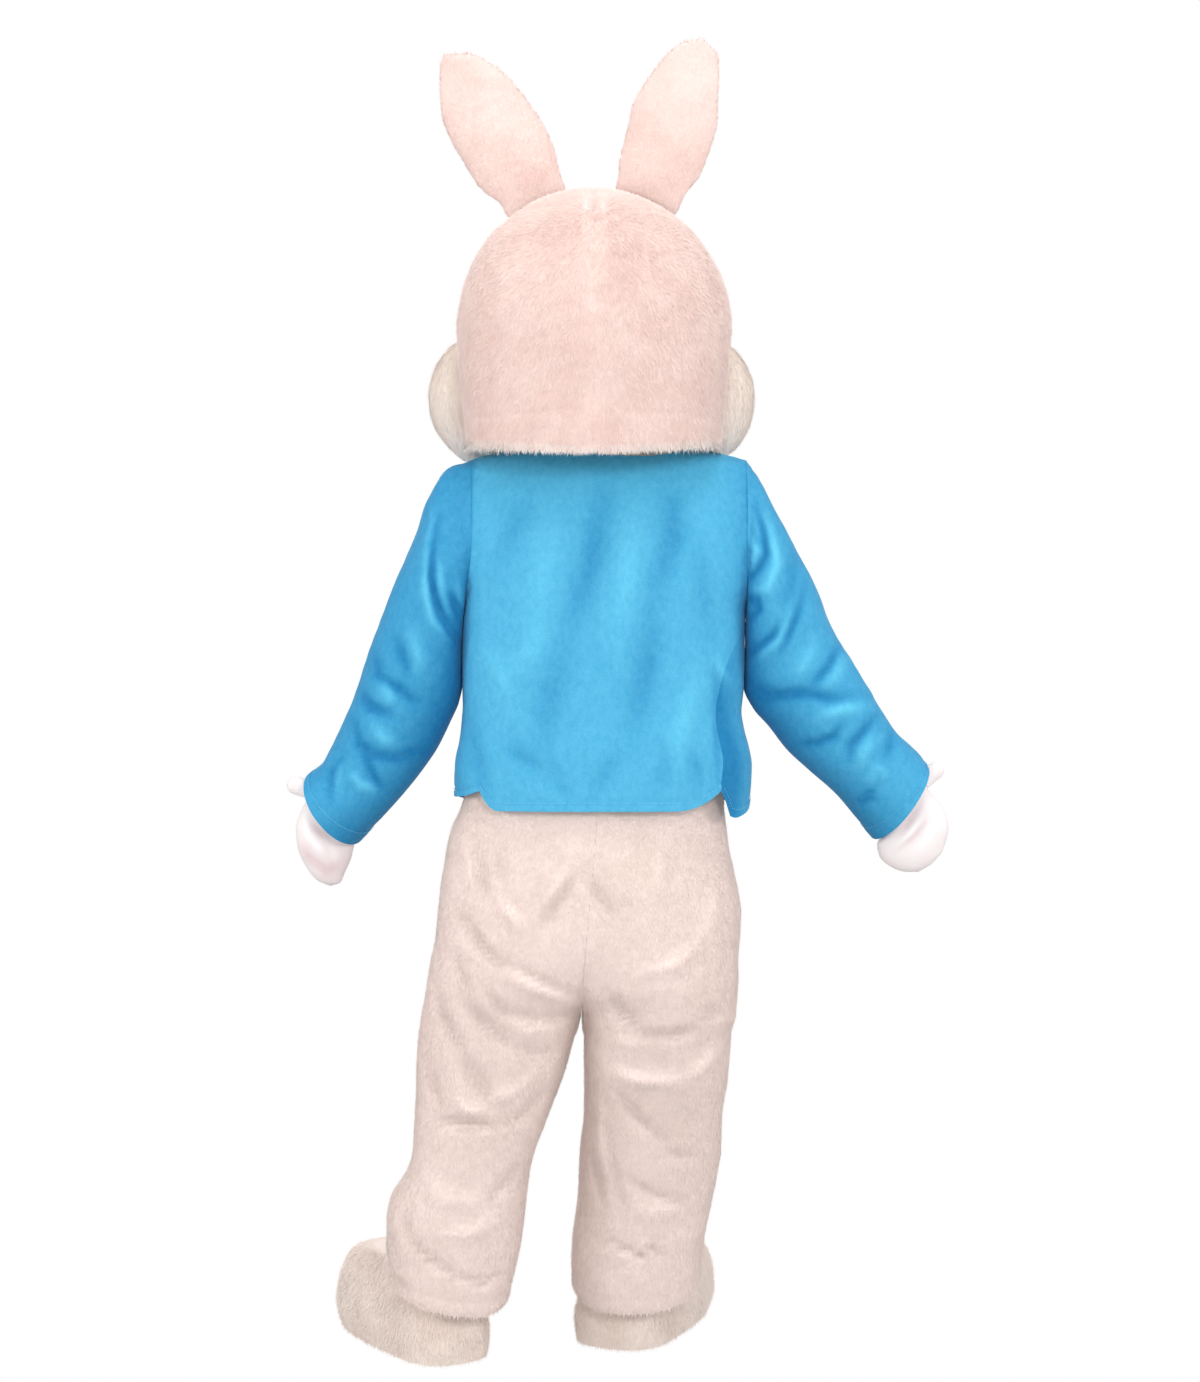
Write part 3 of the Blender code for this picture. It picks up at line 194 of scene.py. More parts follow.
def growPanel(name, surface, columns, rows, cut, outward=None, dip=None, pile=None, paintedShading=None, slide=None):
    # an open sheet on surface(s, t); dip moves it along its normal, pile gives the fur's share and length,
    # the shading function a painted shade (below 0) and painted highlight (above 0) kept on each point, and slide
    # the share of a move that may go sideways
    mesh = bmesh.new()
    mesh.loops.layers.uv.new("UVMap")
    layers = mesh.verts.layers.float
    furShare, furLength, shadingLayer = [layers.new(layer) for layer in ("furShare", "furLength", "paintedShading")]
    bmesh.ops.create_grid(mesh, x_segments=columns, y_segments=rows, size=0.5, calc_uvs=True)
    spots = {}
    for vertex in mesh.verts:
        s, t = round(vertex.co.x + 0.5, 6), round(vertex.co.y + 0.5, 6)
        spots[vertex] = (s, t)
        vertex.co = surface(s, t)
    uv = mesh.loops.layers.uv.active
    for face in mesh.faces:
        for loop in face.loops:
            loop[uv].uv = (loop[uv].uv.x * cut[0], loop[uv].uv.y * cut[1])
    bmesh.ops.remove_doubles(mesh, verts=mesh.verts[:], dist=0.00001)
    mesh.normal_update()
    middle = sum((vertex.co for vertex in mesh.verts), Vector()) / len(mesh.verts)
    facing = 0.0
    for face in mesh.faces:
        away = outward or (face.calc_center_median() - middle)
        facing += face.normal.dot(away) * face.calc_area()
    if facing < 0:
        bmesh.ops.reverse_faces(mesh, faces=mesh.faces[:])
        mesh.normal_update()
    moves = []
    for vertex, (s, t) in spots.items():
        if not vertex.is_valid:
            continue
        if paintedShading:
            vertex[shadingLayer] = min(1.0, max(-1.0, paintedShading(s, t, vertex.co)))
        if dip:
            move = vertex.normal * dip(s, t, vertex.co)
            if slide:
                move.x *= slide(s, t, vertex.co)
            moves.append((vertex, move))
        vertex[furShare], vertex[furLength] = pile(s, t, vertex.co) if pile else (1.0, 1.0)
    for vertex, move in moves:
        vertex.co += move
    thing = placeMesh(name, mesh)
    thing.data.shade_smooth()
    return thing


def settle(thing):
    # the modifiers' result becomes the piece's own mesh
    view = bpy.context.evaluated_depsgraph_get()
    view.update()
    result = thing.evaluated_get(view)
    data = bpy.data.meshes.new_from_object(result, preserve_all_data_layers=True, depsgraph=view)
    thing.modifiers.clear()
    old = thing.data
    thing.data = data
    data.name = thing.name
    bpy.data.meshes.remove(old)


def dress(thing, slot, *nodes):
    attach(thing, "root")
    if nodes:
        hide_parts(*nodes)


def makeUp(panel, name, slot, *kinds, wall=0.0):
    # the cloth's finish and its lining's, if it has one, and its thickness inwards; its slot is not used
    for kind in kinds:
        panel.data.materials.append(finishes[kind])
    if wall:
        solid = panel.modifiers.new("wall", "SOLIDIFY")
        solid.thickness = wall
        solid.offset = -1.0
        solid.use_even_offset = False
        solid.material_offset = len(kinds) - 1
        settle(panel)
        panel.data.set_sharp_from_angle(angle=math.radians(50))
    dress(panel, slot, name)


# finishes
def plug(tree, node, values):
    # each socket takes a plain value, or a link from another node's socket
    for socket, value in values.items():
        if hasattr(value, "links"):
            tree.links.new(value, node.inputs[socket])
        else:
            node.inputs[socket].default_value = value
    return node


def addNode(tree, kind, values, output=0, **settings):
    node = tree.nodes.new(kind)
    for name, value in settings.items():
        setattr(node, name, value)
    return plug(tree, node, values).outputs[output]


def addNoise(tree, scale, detail=3.0, stretch=(1, 1, 1)):
    place = addNode(tree, "ShaderNodeTexCoord", {}, "Object")
    place = addNode(tree, "ShaderNodeMapping", {"Vector": place, "Scale": stretch}, "Vector")
    return addNode(tree, "ShaderNodeTexNoise", {"Vector": place, "Scale": scale, "Detail": detail}, "Fac")


def addRamp(tree, source, *stops):
    ramp = tree.nodes.new("ShaderNodeValToRGB")
    tree.links.new(source, ramp.inputs["Fac"])
    elements = ramp.color_ramp.elements
    for element, (position, colour) in zip(elements, (stops[0], stops[-1])):
        element.position, element.color = position, (*colour, 1)
    for position, colour in stops[1:-1]:
        elements.new(position).color = (*colour, 1)
    return ramp.outputs["Color"]


def addBump(tree, height, strength, distance, **after):
    values = {"Strength": strength, "Distance": distance, "Height": height, **after}
    return addNode(tree, "ShaderNodeBump", values, "Normal")


def addRange(tree, source, low, high, start=0.0):
    span = {"Value": source, "From Min": start, "To Min": low, "To Max": high}
    return addNode(tree, "ShaderNodeMapRange", span, "Result")


def addShift(tree, colour, **shifts):
    return addNode(tree, "ShaderNodeHueSaturation", {"Color": colour, **shifts}, "Color")


def addPaintedShading(tree, colour, pressed, highlightValue, shadeSaturation=1.0, turned=0.0):
    # painted shade: darker and deeper in colour in the folds' troughs and where the cloth turns from the lamps, and
    # a painted highlight, lighter, on the ridges; pressed is the brightness at full shade
    shadeAmount = addNode(tree, "ShaderNodeAttribute", {}, "Fac", attribute_name="paintedShading")
    spans = {
        "Value": (pressed, highlightValue), "Saturation": (shadeSaturation, 2 - shadeSaturation), "Hue": (0.5 + turned, 0.5 - turned),
    }
    shifts = {name: addRange(tree, shadeAmount, *span, -1.0) for name, span in spans.items()}
    return addShift(tree, colour, **shifts)


def newFinish(name):
    finish = bpy.data.materials.new(name)
    finish.use_nodes = True
    return finish, finish.node_tree


def finishWith(finish, colour, roughness, sheen, **others):
    # sheen is its weight, roughness and tint, or nothing
    names = ("Sheen Weight", "Sheen Roughness", "Sheen Tint")
    values = {"Base Color": colour, "Roughness": roughness, **dict(zip(names, sheen)), **others}
    plug(finish.node_tree, finish.node_tree.nodes["Principled BSDF"], values)
    return finish


def plushFinish(name, light, deep, mottle, strands=False):
    # pile cloth: broad drifts of colour, small tufts, and a paler or deeper tint on each strand
    finish, tree = newFinish(name)
    colour = addRamp(tree, addNoise(tree, mottle, 4.0), (0.34, deep), (0.62, light))
    colour = addShift(tree, colour, Value=addRange(tree, addNoise(tree, 85.0), 0.92, 1.06))
    others = {"Specular IOR Level": 0.15}
    if strands:
        tint = addNode(tree, "ShaderNodeAttribute", {}, "Fac", attribute_name="tint")
        colour = addShift(tree, colour, Value=addRange(tree, tint, 0.95, 1.05))
    else:
        others["Normal"] = addBump(tree, addNoise(tree, 300.0, 4.0), 0.5, 0.003)
    # painted shade in the folds and painted highlight on their ridges, from the points' shading values
    colour = addPaintedShading(tree, colour, 0.87, 1.05, 1.05)
    return finishWith(finish, colour, 0.92, (0.7, 0.55, (1.0, 0.90, 0.85, 1)), **others)


def velourFinish(name, napDark, colour, napLight):
    finish, tree = newFinish(name)
    nap = addNoise(tree, 110.0, 6.0, (1, 1, 0.7))
    colour = addRamp(tree, nap, (0.30, napDark), (0.5, colour), (0.72, napLight))
    colour = addShift(tree, colour, Value=addRange(tree, addNoise(tree, 420.0, 2.0), 0.82, 1.18))
    # painted shade, deeper in colour, in the folds and at the turned-away sides, and painted highlight on the
    # ridges
    colour = addPaintedShading(tree, colour, 0.56, 1.13, 1.09, 0.020)
    fibres = addBump(tree, addNoise(tree, 900.0, 2.0), 0.35, 0.0012)
    pressed = addBump(tree, addNoise(tree, 120.0), 0.25, 0.002, Normal=fibres)
    others = {"Specular IOR Level": 0.25, "Normal": pressed}
    return finishWith(finish, colour, 0.78, (0.12, 0.45, (0.55, 0.85, 1.0, 1)), **others)


def knitFinish(name, light, deep):
    # smooth stretch cloth for the mittens, with fine ribs along the uv map
    finish, tree = newFinish(name)
    # the colour carries painted shade in the folds and painted highlight on their ridges
    colour = addPaintedShading(tree, addRamp(tree, addNoise(tree, 14.0), (0.35, deep), (0.6, light)), 0.80, 1.04, 1.9)
    place = addNode(tree, "ShaderNodeUVMap", {}, "UV", uv_map="UVMap")
    ribs = addNode(tree, "ShaderNodeTexWave", {"Scale": 180.0, "Distortion": 1.0, "Vector": place}, "Fac")
    slack = addBump(tree, addNoise(tree, 45.0, 2.0), 0.3, 0.003, Normal=addBump(tree, ribs, 0.2, 0.0008))
    return finishWith(finish, colour, 0.5, (0.3, 0.4), Normal=slack)


def plainFinish(name, colour, roughness, grainScale, grainDepth=0.3, gloss=0.0):
    finish, tree = newFinish(name)
    grain = addNoise(tree, grainScale)
    darker = tuple(channel * 0.82 for channel in colour)
    others = {"Coat Weight": gloss, "Coat Roughness": 0.04}
    if grainDepth:
        others["Normal"] = addBump(tree, grain, grainDepth, 0.001)
    return finishWith(finish, addRamp(tree, grain, (0.3, darker), (0.65, colour)), roughness, (), **others)


plushes = {     # the lighter and the deeper colour, and how fine they mingle
    "head": ((0.95, 0.765, 0.71), (0.90, 0.69, 0.635), 16.0),
    "cream": ((0.99, 0.895, 0.82), (0.96, 0.85, 0.77), 16.0),
    "suit": ((0.905, 0.762, 0.712), (0.86, 0.722, 0.663), 9.0),
    "shoe": ((0.97, 0.86, 0.785), (0.92, 0.79, 0.715), 16.0),
    "pink": ((0.86, 0.50, 0.50), (0.74, 0.38, 0.39), 16.0),
}
finishes = {
    **{kind: plushFinish(kind + "Plush", *plush) for kind, plush in plushes.items()},
    **{kind + "Strand": plushFinish(kind + "Strand", *plush, True) for kind, plush in plushes.items()},
    # a paler copy of the cream strands: painted light for the fringe in the shade under the head's edge
    "litRimStrand": plushFinish("litRimStrand", (1.0, 0.925, 0.875), (0.97, 0.87, 0.81), 16.0, True),
    "velour": velourFinish("blueVelour", (0.066, 0.435, 0.72), (0.080, 0.465, 0.755), (0.095, 0.495, 0.785)),
    "thread": plainFinish("blueThread", (0.13, 0.52, 0.79), 0.6, 900.0),
    "knit": knitFinish("mittenKnit", (0.97, 0.90, 0.895), (0.94, 0.825, 0.835)),
    "eye": plainFinish("eyeGloss", (0.012, 0.010, 0.012), 0.12, 40.0, 0.0, 1.0),
    "nose": plainFinish("noseVelvet", (0.62, 0.22, 0.26), 0.7, 400.0),
    "foam": plainFinish("headFoam", (0.80, 0.73, 0.66), 0.95, 120.0),
    "sole": plainFinish("soleFelt", (0.58, 0.53, 0.49), 0.95, 180.0, 0.6),
}
print("finishes made")


# fur: strands scattered over a panel, leaning away from a point and realized as one mesh
def furNodes(name, fur, finish):
    tree = bpy.data.node_groups.new(name, "GeometryNodeTree")
    for way in ("INPUT", "OUTPUT"):
        tree.interface.new_socket("Geometry", in_out=way, socket_type="NodeSocketGeometry")
    add = partial(addNode, tree)

    def vector(operation, first, second=None, scale=None):
        given = ((0, first), (1, second), (3, scale))
        values = {socket: value for socket, value in given if value is not None}
        output = "Value" if operation == "DOT_PRODUCT" else "Vector"
        return add("ShaderNodeVectorMath", values, output, operation=operation)

    def product(first, second):
        return add("ShaderNodeMath", {0: first, 1: second}, operation="MULTIPLY")

    def attribute(wanted, kind="FLOAT"):
        return add("GeometryNodeInputNamedAttribute", {"Name": wanted}, "Attribute", data_type=kind)

    def chance(step, low=0.0, high=1.0):
        values = {2: low, 3: high, "Seed": fur["seed"] + step}
        return add("FunctionNodeRandomValue", values, 1, data_type="FLOAT")

    scatter = tree.nodes.new("GeometryNodeDistributePointsOnFaces")
    density = product(attribute("furShare"), fur["density"])
    plug(tree, scatter, {"Mesh": add("NodeGroupInput", {}), "Density": density, "Seed": fur["seed"]})
    normal = scatter.outputs["Normal"]
    source = Vector(fur["combFrom"]) - Vector((0, 0, holdHeight))
    flow = vector("SUBTRACT", add("GeometryNodeInputPosition", {}), tuple(source))
    across = vector("SCALE", normal, scale=vector("DOT_PRODUCT", flow, normal))
    flow = vector("NORMALIZE", vector("SUBTRACT", flow, across))
    spread = {0: (-fur["tangle"],) * 3, 1: (fur["tangle"],) * 3, "Seed": fur["seed"] + 1}
    tangle = add("FunctionNodeRandomValue", spread, data_type="FLOAT_VECTOR")
    locks = add("ShaderNodeTexNoise", {"Scale": fur.get("lockScale", 45.0), "Detail": 1.0}, "Color")
    swirl = vector("SCALE", vector("SUBTRACT", locks, (0.5, 0.5, 0.5)), scale=fur["locks"])
    heading = vector("ADD", flow, vector("SCALE", normal, scale=fur["lift"]))
    heading = vector("NORMALIZE", vector("ADD", heading, vector("ADD", tangle, swirl)))
    aim = add("FunctionNodeAlignRotationToVector", {"Vector": heading}, axis="Z")
    roll = add("FunctionNodeAlignRotationToVector", {"Rotation": aim, "Vector": normal},
               axis="Y", pivot_axis="Z")

    blade = add("GeometryNodeMeshCircle", {"Vertices": 3, "Radius": 1.0}, fill_type="NGON")
    blade = add("GeometryNodeTransform", {
        0: blade, "Translation": (0, 0, fur["length"] / 3), "Rotation": (0, -quarter, 0),
        "Scale": (fur["length"] * 2 / 3, fur["width"] / math.sqrt(3), 1.0)})
    blade = add("GeometryNodeTransform", {0: blade, "Rotation": (0, 0, -quarter)})

    # each strand is shaded mostly as the cloth under it, and a little as it leans itself
    bent = vector("ADD", vector("SCALE", normal, scale=fur["calm"]), vector("SCALE", heading, scale=-0.35))
    bent = vector("NORMALIZE", vector("ADD", bent, tangle))
    points = add("GeometryNodeStoreNamedAttribute", {
        "Geometry": scatter.outputs["Points"], "Name": "clothNormal", "Value": bent},
        data_type="FLOAT_VECTOR", domain="POINT")
    size = product(chance(2, 0.65, 1.15), attribute("furLength"))
    plant = add("GeometryNodeInstanceOnPoints", {
        "Points": points, "Instance": blade, "Rotation": roll, "Scale": size})
    tinted = add("GeometryNodeStoreNamedAttribute", {"Geometry": plant, "Name": "tint", "Value": chance(3)},
                 data_type="FLOAT", domain="INSTANCE")
    whole = add("GeometryNodeRealizeInstances", {0: tinted})
    lean = attribute("clothNormal", "FLOAT_VECTOR")
    shaded = add("GeometryNodeSetMeshNormal", {"Mesh": whole, "Custom Normal": lean},
                 mode="FREE", domain="CORNER")
    painted = add("GeometryNodeSetMaterial", {"Geometry": shaded, "Material": finish})
    plug(tree, tree.nodes.new("NodeGroupOutput"), {0: painted})
    return tree


def growFur(name, panel, fur, kind, slot):
    thing = addThing(name, panel.data.copy())
    thing.modifiers.new("fur", "NODES").node_group = furNodes(name, fur, finishes[kind])
    settle(thing)
    dress(thing, slot)
    return thing


# head: two back panels and a face panel on one rounded shell
head = {
    "x": 0.010, "top": 1.838, "widest": 1.615, "domeShare": 0.58, "rimBack": 1.410, "rimSide": 1.434,
    "faceSeam": math.radians(-12), "wall": 0.012, "inset": 0.0045, "band": 1.468, "seamDip": 0.0014,
    "panelWidth": 0.36, "rimShare": 0.017,
}
headTable = readTable("height half back front middle", (
    (1405, 199, 186, 186, -10), (1440, 203, 192, 190, -10), (1500, 209, 199, 200, -10), (1560, 215, 205, 206, -10),
    (1615, 219, 208, 208, -10),
))
headFur = {
    "density": 250000, "length": 0.0086, "width": 0.0017, "lift": 0.34, "tangle": 0.24, "locks": 0.40,
    "calm": 3.0, "combFrom": (0.010, 0.30, 2.00), "seed": 11,
}
rimFur = {      # the pile's ends stand out along the head's open edge; their finish is a paler copy of the cream plush, painted light against the shade under the edge
    "density": 600000, "length": 0.0142, "width": 0.0018, "lift": 0.34, "tangle": 0.42, "locks": 0.7,
    "calm": 2.6, "combFrom": (0.010, 0.0, 2.6), "seed": 21,
}


def headPoint(angle, level):
    rim = mixed(head["rimSide"], head["rimBack"], math.sin(angle) ** 2)
    lower = 1 - head["domeShare"]
    if level < lower:
        row = headTable.at(mixed(rim, head["widest"], level / lower))
        height, shrink = row.height, 1.0
    else:
        row = headTable.at(head["widest"])
        turn = quarter * (level - lower) / head["domeShare"]
        height = head["widest"] + (head["top"] - head["widest"]) * math.sin(turn)
        shrink = math.cos(turn)
    depth = row.back if math.sin(angle) > 0 else row.front
    x = head["x"] + row.half * shrink * math.cos(angle)
    return Vector((x, row.middle + depth * shrink * math.sin(angle), height))


def facePoint(s, t):
    return headPoint(mixed(-math.pi - head["faceSeam"], head["faceSeam"], s), t)


def headBack(turn, s, t):
    return headPoint(quarter - turn * (quarter - mixed(head["faceSeam"], quarter, s)), t)


def headSeam(s, t):
    return seamDistance(s, head["panelWidth"]) * (1.1 - 0.9 * t)


def headDip(s, t, point):
    # the seams sink, the band below the back's cross seam is flatter, and the padding is a little uneven
    dip = -head["inset"] - head["seamDip"] * bump(headSeam(s, t), 0.006)
    if point.y > 0:
        dip -= 0.0012 * bump(point.z - head["band"], 0.004)
    return uneven("head", point, dip)


def headPile(s, t, point):
    # longer at the rim, short on the band and parted at the seams
    length = 1.0 - 0.22 * bump(headSeam(s, t), 0.007)
    if point.y > 0:
        length -= 0.16 * bump(point.z - head["band"], 0.005)
        length -= 0.08 * eased((head["band"] - point.z) / 0.008)
    length += 0.25 * bump(t, 0.022)
    return 1.0 + 0.8 * bump(t, 0.018), length


def rimPile(s, t, point):
    return 1.0, 0.80 + 0.55 * min(1.0, abs(point.x) / 0.2) ** 2 - 0.25 * t


def makeHeadPanel(name, surface, facing, columns, width, kind, slot, fur):
    outward = Vector((0, facing, 0))
    panel = growPanel(name, surface, columns, 64, (width, 0.58), outward, headDip, headPile)
    pelt = growFur("fur_" + name, panel, fur, kind + "Strand", slot)
    strip = growPanel("strip_" + name, lambda s, t: surface(s, t * head["rimShare"]), 60, 4,
                      (head["panelWidth"], 0.01), outward, headDip, rimPile)
    fringe = growFur("fringe_" + name, strip, rimFur, "litRimStrand", "cream_plush")
    bpy.data.objects.remove(strip)
    makeUp(panel, name, slot, kind, "foam", wall=head["wall"] - head["inset"])


def makeHead():
    for side, turn in sides.items():
        makeHeadPanel("head_back_" + side, partial(headBack, turn), 1, 48, 0.36, "head", "head_plush",
                      headFur)
    makeHeadPanel("head_face", facePoint, -1, 84, 0.60, "cream", "cream_plush",
                  {**headFur, "combFrom": (0.010, -0.30, 1.62), "seed": 15})


# face pads: cheeks, muzzle, eyes and nose, each a closed dome on the face panel
pads = {
    "cheek_left": {"spot": (0.40, 0.200), "reach": (0.112, 0.225), "height": 0.082, "grid": (56, 22)},
    "cheek_right": {"spot": (0.40, 0.192), "reach": (0.112, 0.217), "height": 0.074, "grid": (56, 22)},
    "muzzle": {"spot": (0.101, 0.195), "reach": (0.098, 0.135), "height": 0.068, "grid": (48, 18)},
    "eye": {"spot": (0.135, 0.520), "reach": (0.056, 0.092), "height": 0.014, "grid": (48, 14)},
    "nose": {"spot": (0.0, 0.385), "reach": (0.058, 0.046), "height": 0.034, "grid": (48, 14)},
    "gap": 0.0014, "edge": 0.0025,
}
cheekFur = {
    "density": 250000, "length": 0.0096, "width": 0.0018, "lift": 0.30, "tangle": 0.20, "locks": 0.30,
    "calm": 2.8, "combFrom": (0.010, -0.15, 2.30), "seed": 31, "inset": 0.0045,
}
muzzleFur = {**cheekFur, "length": 0.0085, "width": 0.0019, "seed": 35}


def growPad(name, pad, turn, inset=0.0):
    def domePoint(s, t):
        # t runs from the middle of the outside over the rim to the middle of the back
        share = min(1.0, 2 * t) if t <= 0.5 else 2 * (1 - t)
        angle = circle * (s % 1.0)
        a = 0.5 + turn * pad["spot"][0] + pad["reach"][0] * share * math.cos(angle)
        b = pad["spot"][1] + pad["reach"][1] * share * math.sin(angle)
        across = facePoint(a + stepSize, b) - facePoint(a - stepSize, b)
        along = facePoint(a, b + stepSize) - facePoint(a, b - stepSize)
        rise = pads["edge"] + (pad["height"] - pads["edge"]) * dome(share) if t <= 0.5 else 0.0
        return facePoint(a, b) + across.cross(along).normalized() * (pads["gap"] + rise)

    def padDip(s, t, point):
        return -inset * eased((0.5 - t) / 0.08) + (uneven("pad", point) if inset and t < 0.5 else 0.0)

    def padPile(s, t, point):
        return (1.0 if t <= 0.5 else 0.0), 1.0

    columns, rows = pad["grid"]
    return growPanel(name, domePoint, columns, rows * 2, (0.2, 0.2), None, padDip, padPile)


def makeFace():
    for side, turn in sides.items():
        for kind, fur in (("cheek", cheekFur), ("muzzle", muzzleFur)):
            name = kind + "_" + side
            pad = growPad(name, pads.get(name, pads["muzzle"]), turn, fur["inset"])
            growFur("fur_" + name, pad, fur, "creamStrand", "cream_plush")
            makeUp(pad, name, "cream_plush", "cream")
        name = "eye_" + side
        makeUp(growPad(name, pads["eye"], turn), name, "eye_gloss", "eye")
    nose = growPad("nose", pads["nose"], 0)
    makeUp(nose, "nose", "pink_plush", "nose")


# ears: a back and a front panel each, meeting in the ear's middle plane
ears = {
    "left": {"base": 0.094, "tip": 0.2228, "tipHeight": 2.0576},
    "right": {"base": 0.083, "tip": 0.1685, "tipHeight": 2.0772},
    "baseHeight": 1.796, "y": -0.015, "thick": 0.030, "rim": 0.002, "footShare": 0.40, "footGap": 0.0012,
    "crowd": 1.5, "inset": 0.0035, "dish": 0.010, "lean": 0.012, "tipThin": 0.55, "halfGap": 0.0002,
}
earTables = {
    "left": readTable("share* half shift", (
        (0, 52, -13), (0.12, 55, -13.5), (0.2, 63, -10), (0.28, 69, -8.5), (0.42, 71.5, -7), (0.56, 70, -3),
        (0.68, 65, -1), (0.8, 53, -1), (0.885, 40, 0.5), (0.94, 30, 3), (0.97, 17.5, 10), (1, 5, 13),
    )),
    "right": readTable("share* half shift", (
        (0, 53, 8), (0.12, 56, 6.5), (0.2, 61, 5.5), (0.28, 66.5, 2), (0.42, 69, 1.2), (0.54, 70.5, 2.5),
        (0.68, 61.5, 2.5), (0.8, 51.5, 1.2), (0.885, 42, -0.5), (0.94, 34.5, -2.5), (0.97, 21, -3), (1, 5, -4.5),
    )),
}
earFur = {
    "density": 260000, "length": 0.0078, "width": 0.0017, "lift": 0.32, "tangle": 0.22, "locks": 0.30,
    "calm": 2.8, "combFrom": (0.010, 0.0, 1.20), "seed": 51,
}


def slideToDome(point, axis):
    # how far a point goes back along the ear's axis to reach the crown
    row = headTable.at(head["widest"])
    depth = row.back if point.y > row.middle else row.front
    sizes = [size + ears["footGap"] for size in (row.half, depth, head["top"] - head["widest"])]
    start = point - Vector((head["x"], row.middle, head["widest"]))
    start = Vector([value / size for value, size in zip(start, sizes)])
    run = Vector([value / size for value, size in zip(axis, sizes)])
    square, double, rest = run.dot(run), 2 * run.dot(start), start.dot(start) - 1
    return (-double + math.sqrt(double * double - 4 * square * rest)) / (2 * square)


def earPoint(side, facing, s, t):
    # s crosses the outer face and comes back along the middle plane, so the panel is closed but at its ends
    size, turn, inset = ears[side], sides[side], ears["inset"]
    t = 1 - (1 - t) ** ears["crowd"]
    foot = Vector((head["x"] + turn * size["base"], ears["y"], ears["baseHeight"]))
    axis = Vector((head["x"] + turn * size["tip"], ears["y"], size["tipHeight"])) - foot
    width = Vector((axis.z, 0, -axis.x)).normalized()
    across = -math.cos(math.pi * min(1.0, 2 * s)) if s <= 0.5 else math.cos(math.pi * (2 * s - 1))
    row, start = earTables[side].at(t), earTables[side].at(0)
    half = max(ears["rim"], row.half - inset)
    depth = 0.0
    if 0 < s < 0.5:
        depth = ears["rim"] + (ears["thick"] / 2 - ears["rim"] - inset) * dome(across)
        depth *= mixed(1.0, ears["tipThin"], t)
    hollow = (1 - across * across) * math.sin(math.pi * min(1.0, t + 0.12)) * eased(t / 0.2)
    lean = ears["lean"] * math.sin(math.pi * t)
    point = foot + axis * (t * (1 - inset / axis.length)) + width * (across * half + row.shift)
    point += Vector((0, lean + ears["dish"] * hollow + facing * (ears["halfGap"] + depth), 0))
    share = max(0.0, 1 - t / ears["footShare"])
    base = foot + width * (across * start.half + start.shift)
    base.y = point.y
    return point + axis * (slideToDome(base, axis) * share * share)


def earPile(s, t, point):
    return (1.0 if s <= 0.5 else 0.0), 0.75 + 0.35 * bump(0.5 - abs(s - 0.25) * 2, 0.12)


def makeEars():
    for side in sides:
        for part, facing, kind in (("back", 1, "head"), ("front", -1, "pink")):
            slot = kind + "_plush"
            name = "ear_" + side + "_" + part
            ear = growPanel(name, partial(earPoint, side, facing), 56, 44, (0.28, 0.27), pile=earPile)
            growFur("fur_" + name, ear, earFur, kind + "Strand", slot)
            mesh = bmesh.new()
            mesh.from_mesh(ear.data)
            bmesh.ops.holes_fill(mesh, edges=mesh.edges[:], sides=0)
            mesh.to_mesh(ear.data)
            mesh.free()
            makeUp(ear, name, slot, kind)


makeHead()
print("head made")
makeFace()
makeEars()
print("face and ears made")


# jacket: a back, two fronts and two sleeves; rise is the key, height the place of the side of the row
jacket = {
    "hem": 0.867, "underarm": 1.170, "top": 1.500, "underarmShare": 8 / 17, "hemFade": 0.12, "wall": 0.0025,
    "neckShare": 0.43, "backDrop": 0.075, "frontDrop": 0.150, "ventRise": 0.030, "turnUp": 0.012,
    "power": 2.4, "reach": {1: 0.200, -1: 0.226}, "corner": {1: (0.76, 2.0), -1: (0.55, 1.7)},
    "frontWidth": 0.26, "backWidth": 0.42, "frontTurn": 0.046, "foldTop": 1.38, "foldFade": 0.08,
    "shadedFoldDepth": 0.011,
}
jacketTable = readTable("rise height left right front back slope sideLeft* sideRight* foreLeft* foreRight*", (
    (867, 867, 228, 234, 150, 130, 0, 39, 41, 39, 41), (930, 930, 226, 238, 147, 128, 0, 39, 41, 39, 41),
    (1020, 1020, 214.5, 221.5, 142, 124, 0, 38, 40, 38, 40),
    (1060, 1060, 215.4, 225.2, 139, 123, 0, 36, 38, 36, 38),
    (1100, 1100, 215.4, 225.8, 137, 122, 0, 29, 31, 29, 31),
    (1150, 1150, 215.3, 226.7, 134, 121, 0, 13, 13, 13, 13), (1170, 1170, 215.5, 227.5, 132, 120, 0, 6, 6, 6, 6),
    (1207, 1207, 218, 236, 129, 119, 3, 19, 16, -10, -10), (1243, 1243, 226, 244, 124, 116, 8, 29, 23, -23, -21),
    (1280, 1280, 232, 250, 118, 111, 13, 34, 26, -31, -26), (1320, 1319, 236, 253, 109, 103, 20, 36, 28, -35, -28),
    (1370, 1367, 238, 254, 90, 86, 30, 36, 28, -36, -29), (1420, 1412, 238, 254, 62, 60, 37, 36, 28, -36, -28),
    (1460, 1441, 238, 254, 34, 33, 40, 36, 28, -36, -28), (1500, 1453, 238, 254, 0, 0, 41, 36, 28, -36, -28),
))
frontEdgeTable = readTable("rise left* right*", (
    (867, -62, -60), (890, -68, -66), (930, -74, -72), (1000, -78, -77), (1200, -81, -80), (1350, -80, -80),
    (1500, -74, -74),
))
frontHemTable = readTable("share* left right", (
    (0, 30, 30), (0.04, 27, 12), (0.08, 24, -10), (0.12, 22, -12), (0.2, 20, -8), (0.3, 19, -2), (0.4, 19, 6),
    (0.55, 14, 8), (0.7, 9, 8), (0.84, 9, 9), (0.92, 20, 20), (1, 38, 38),
))
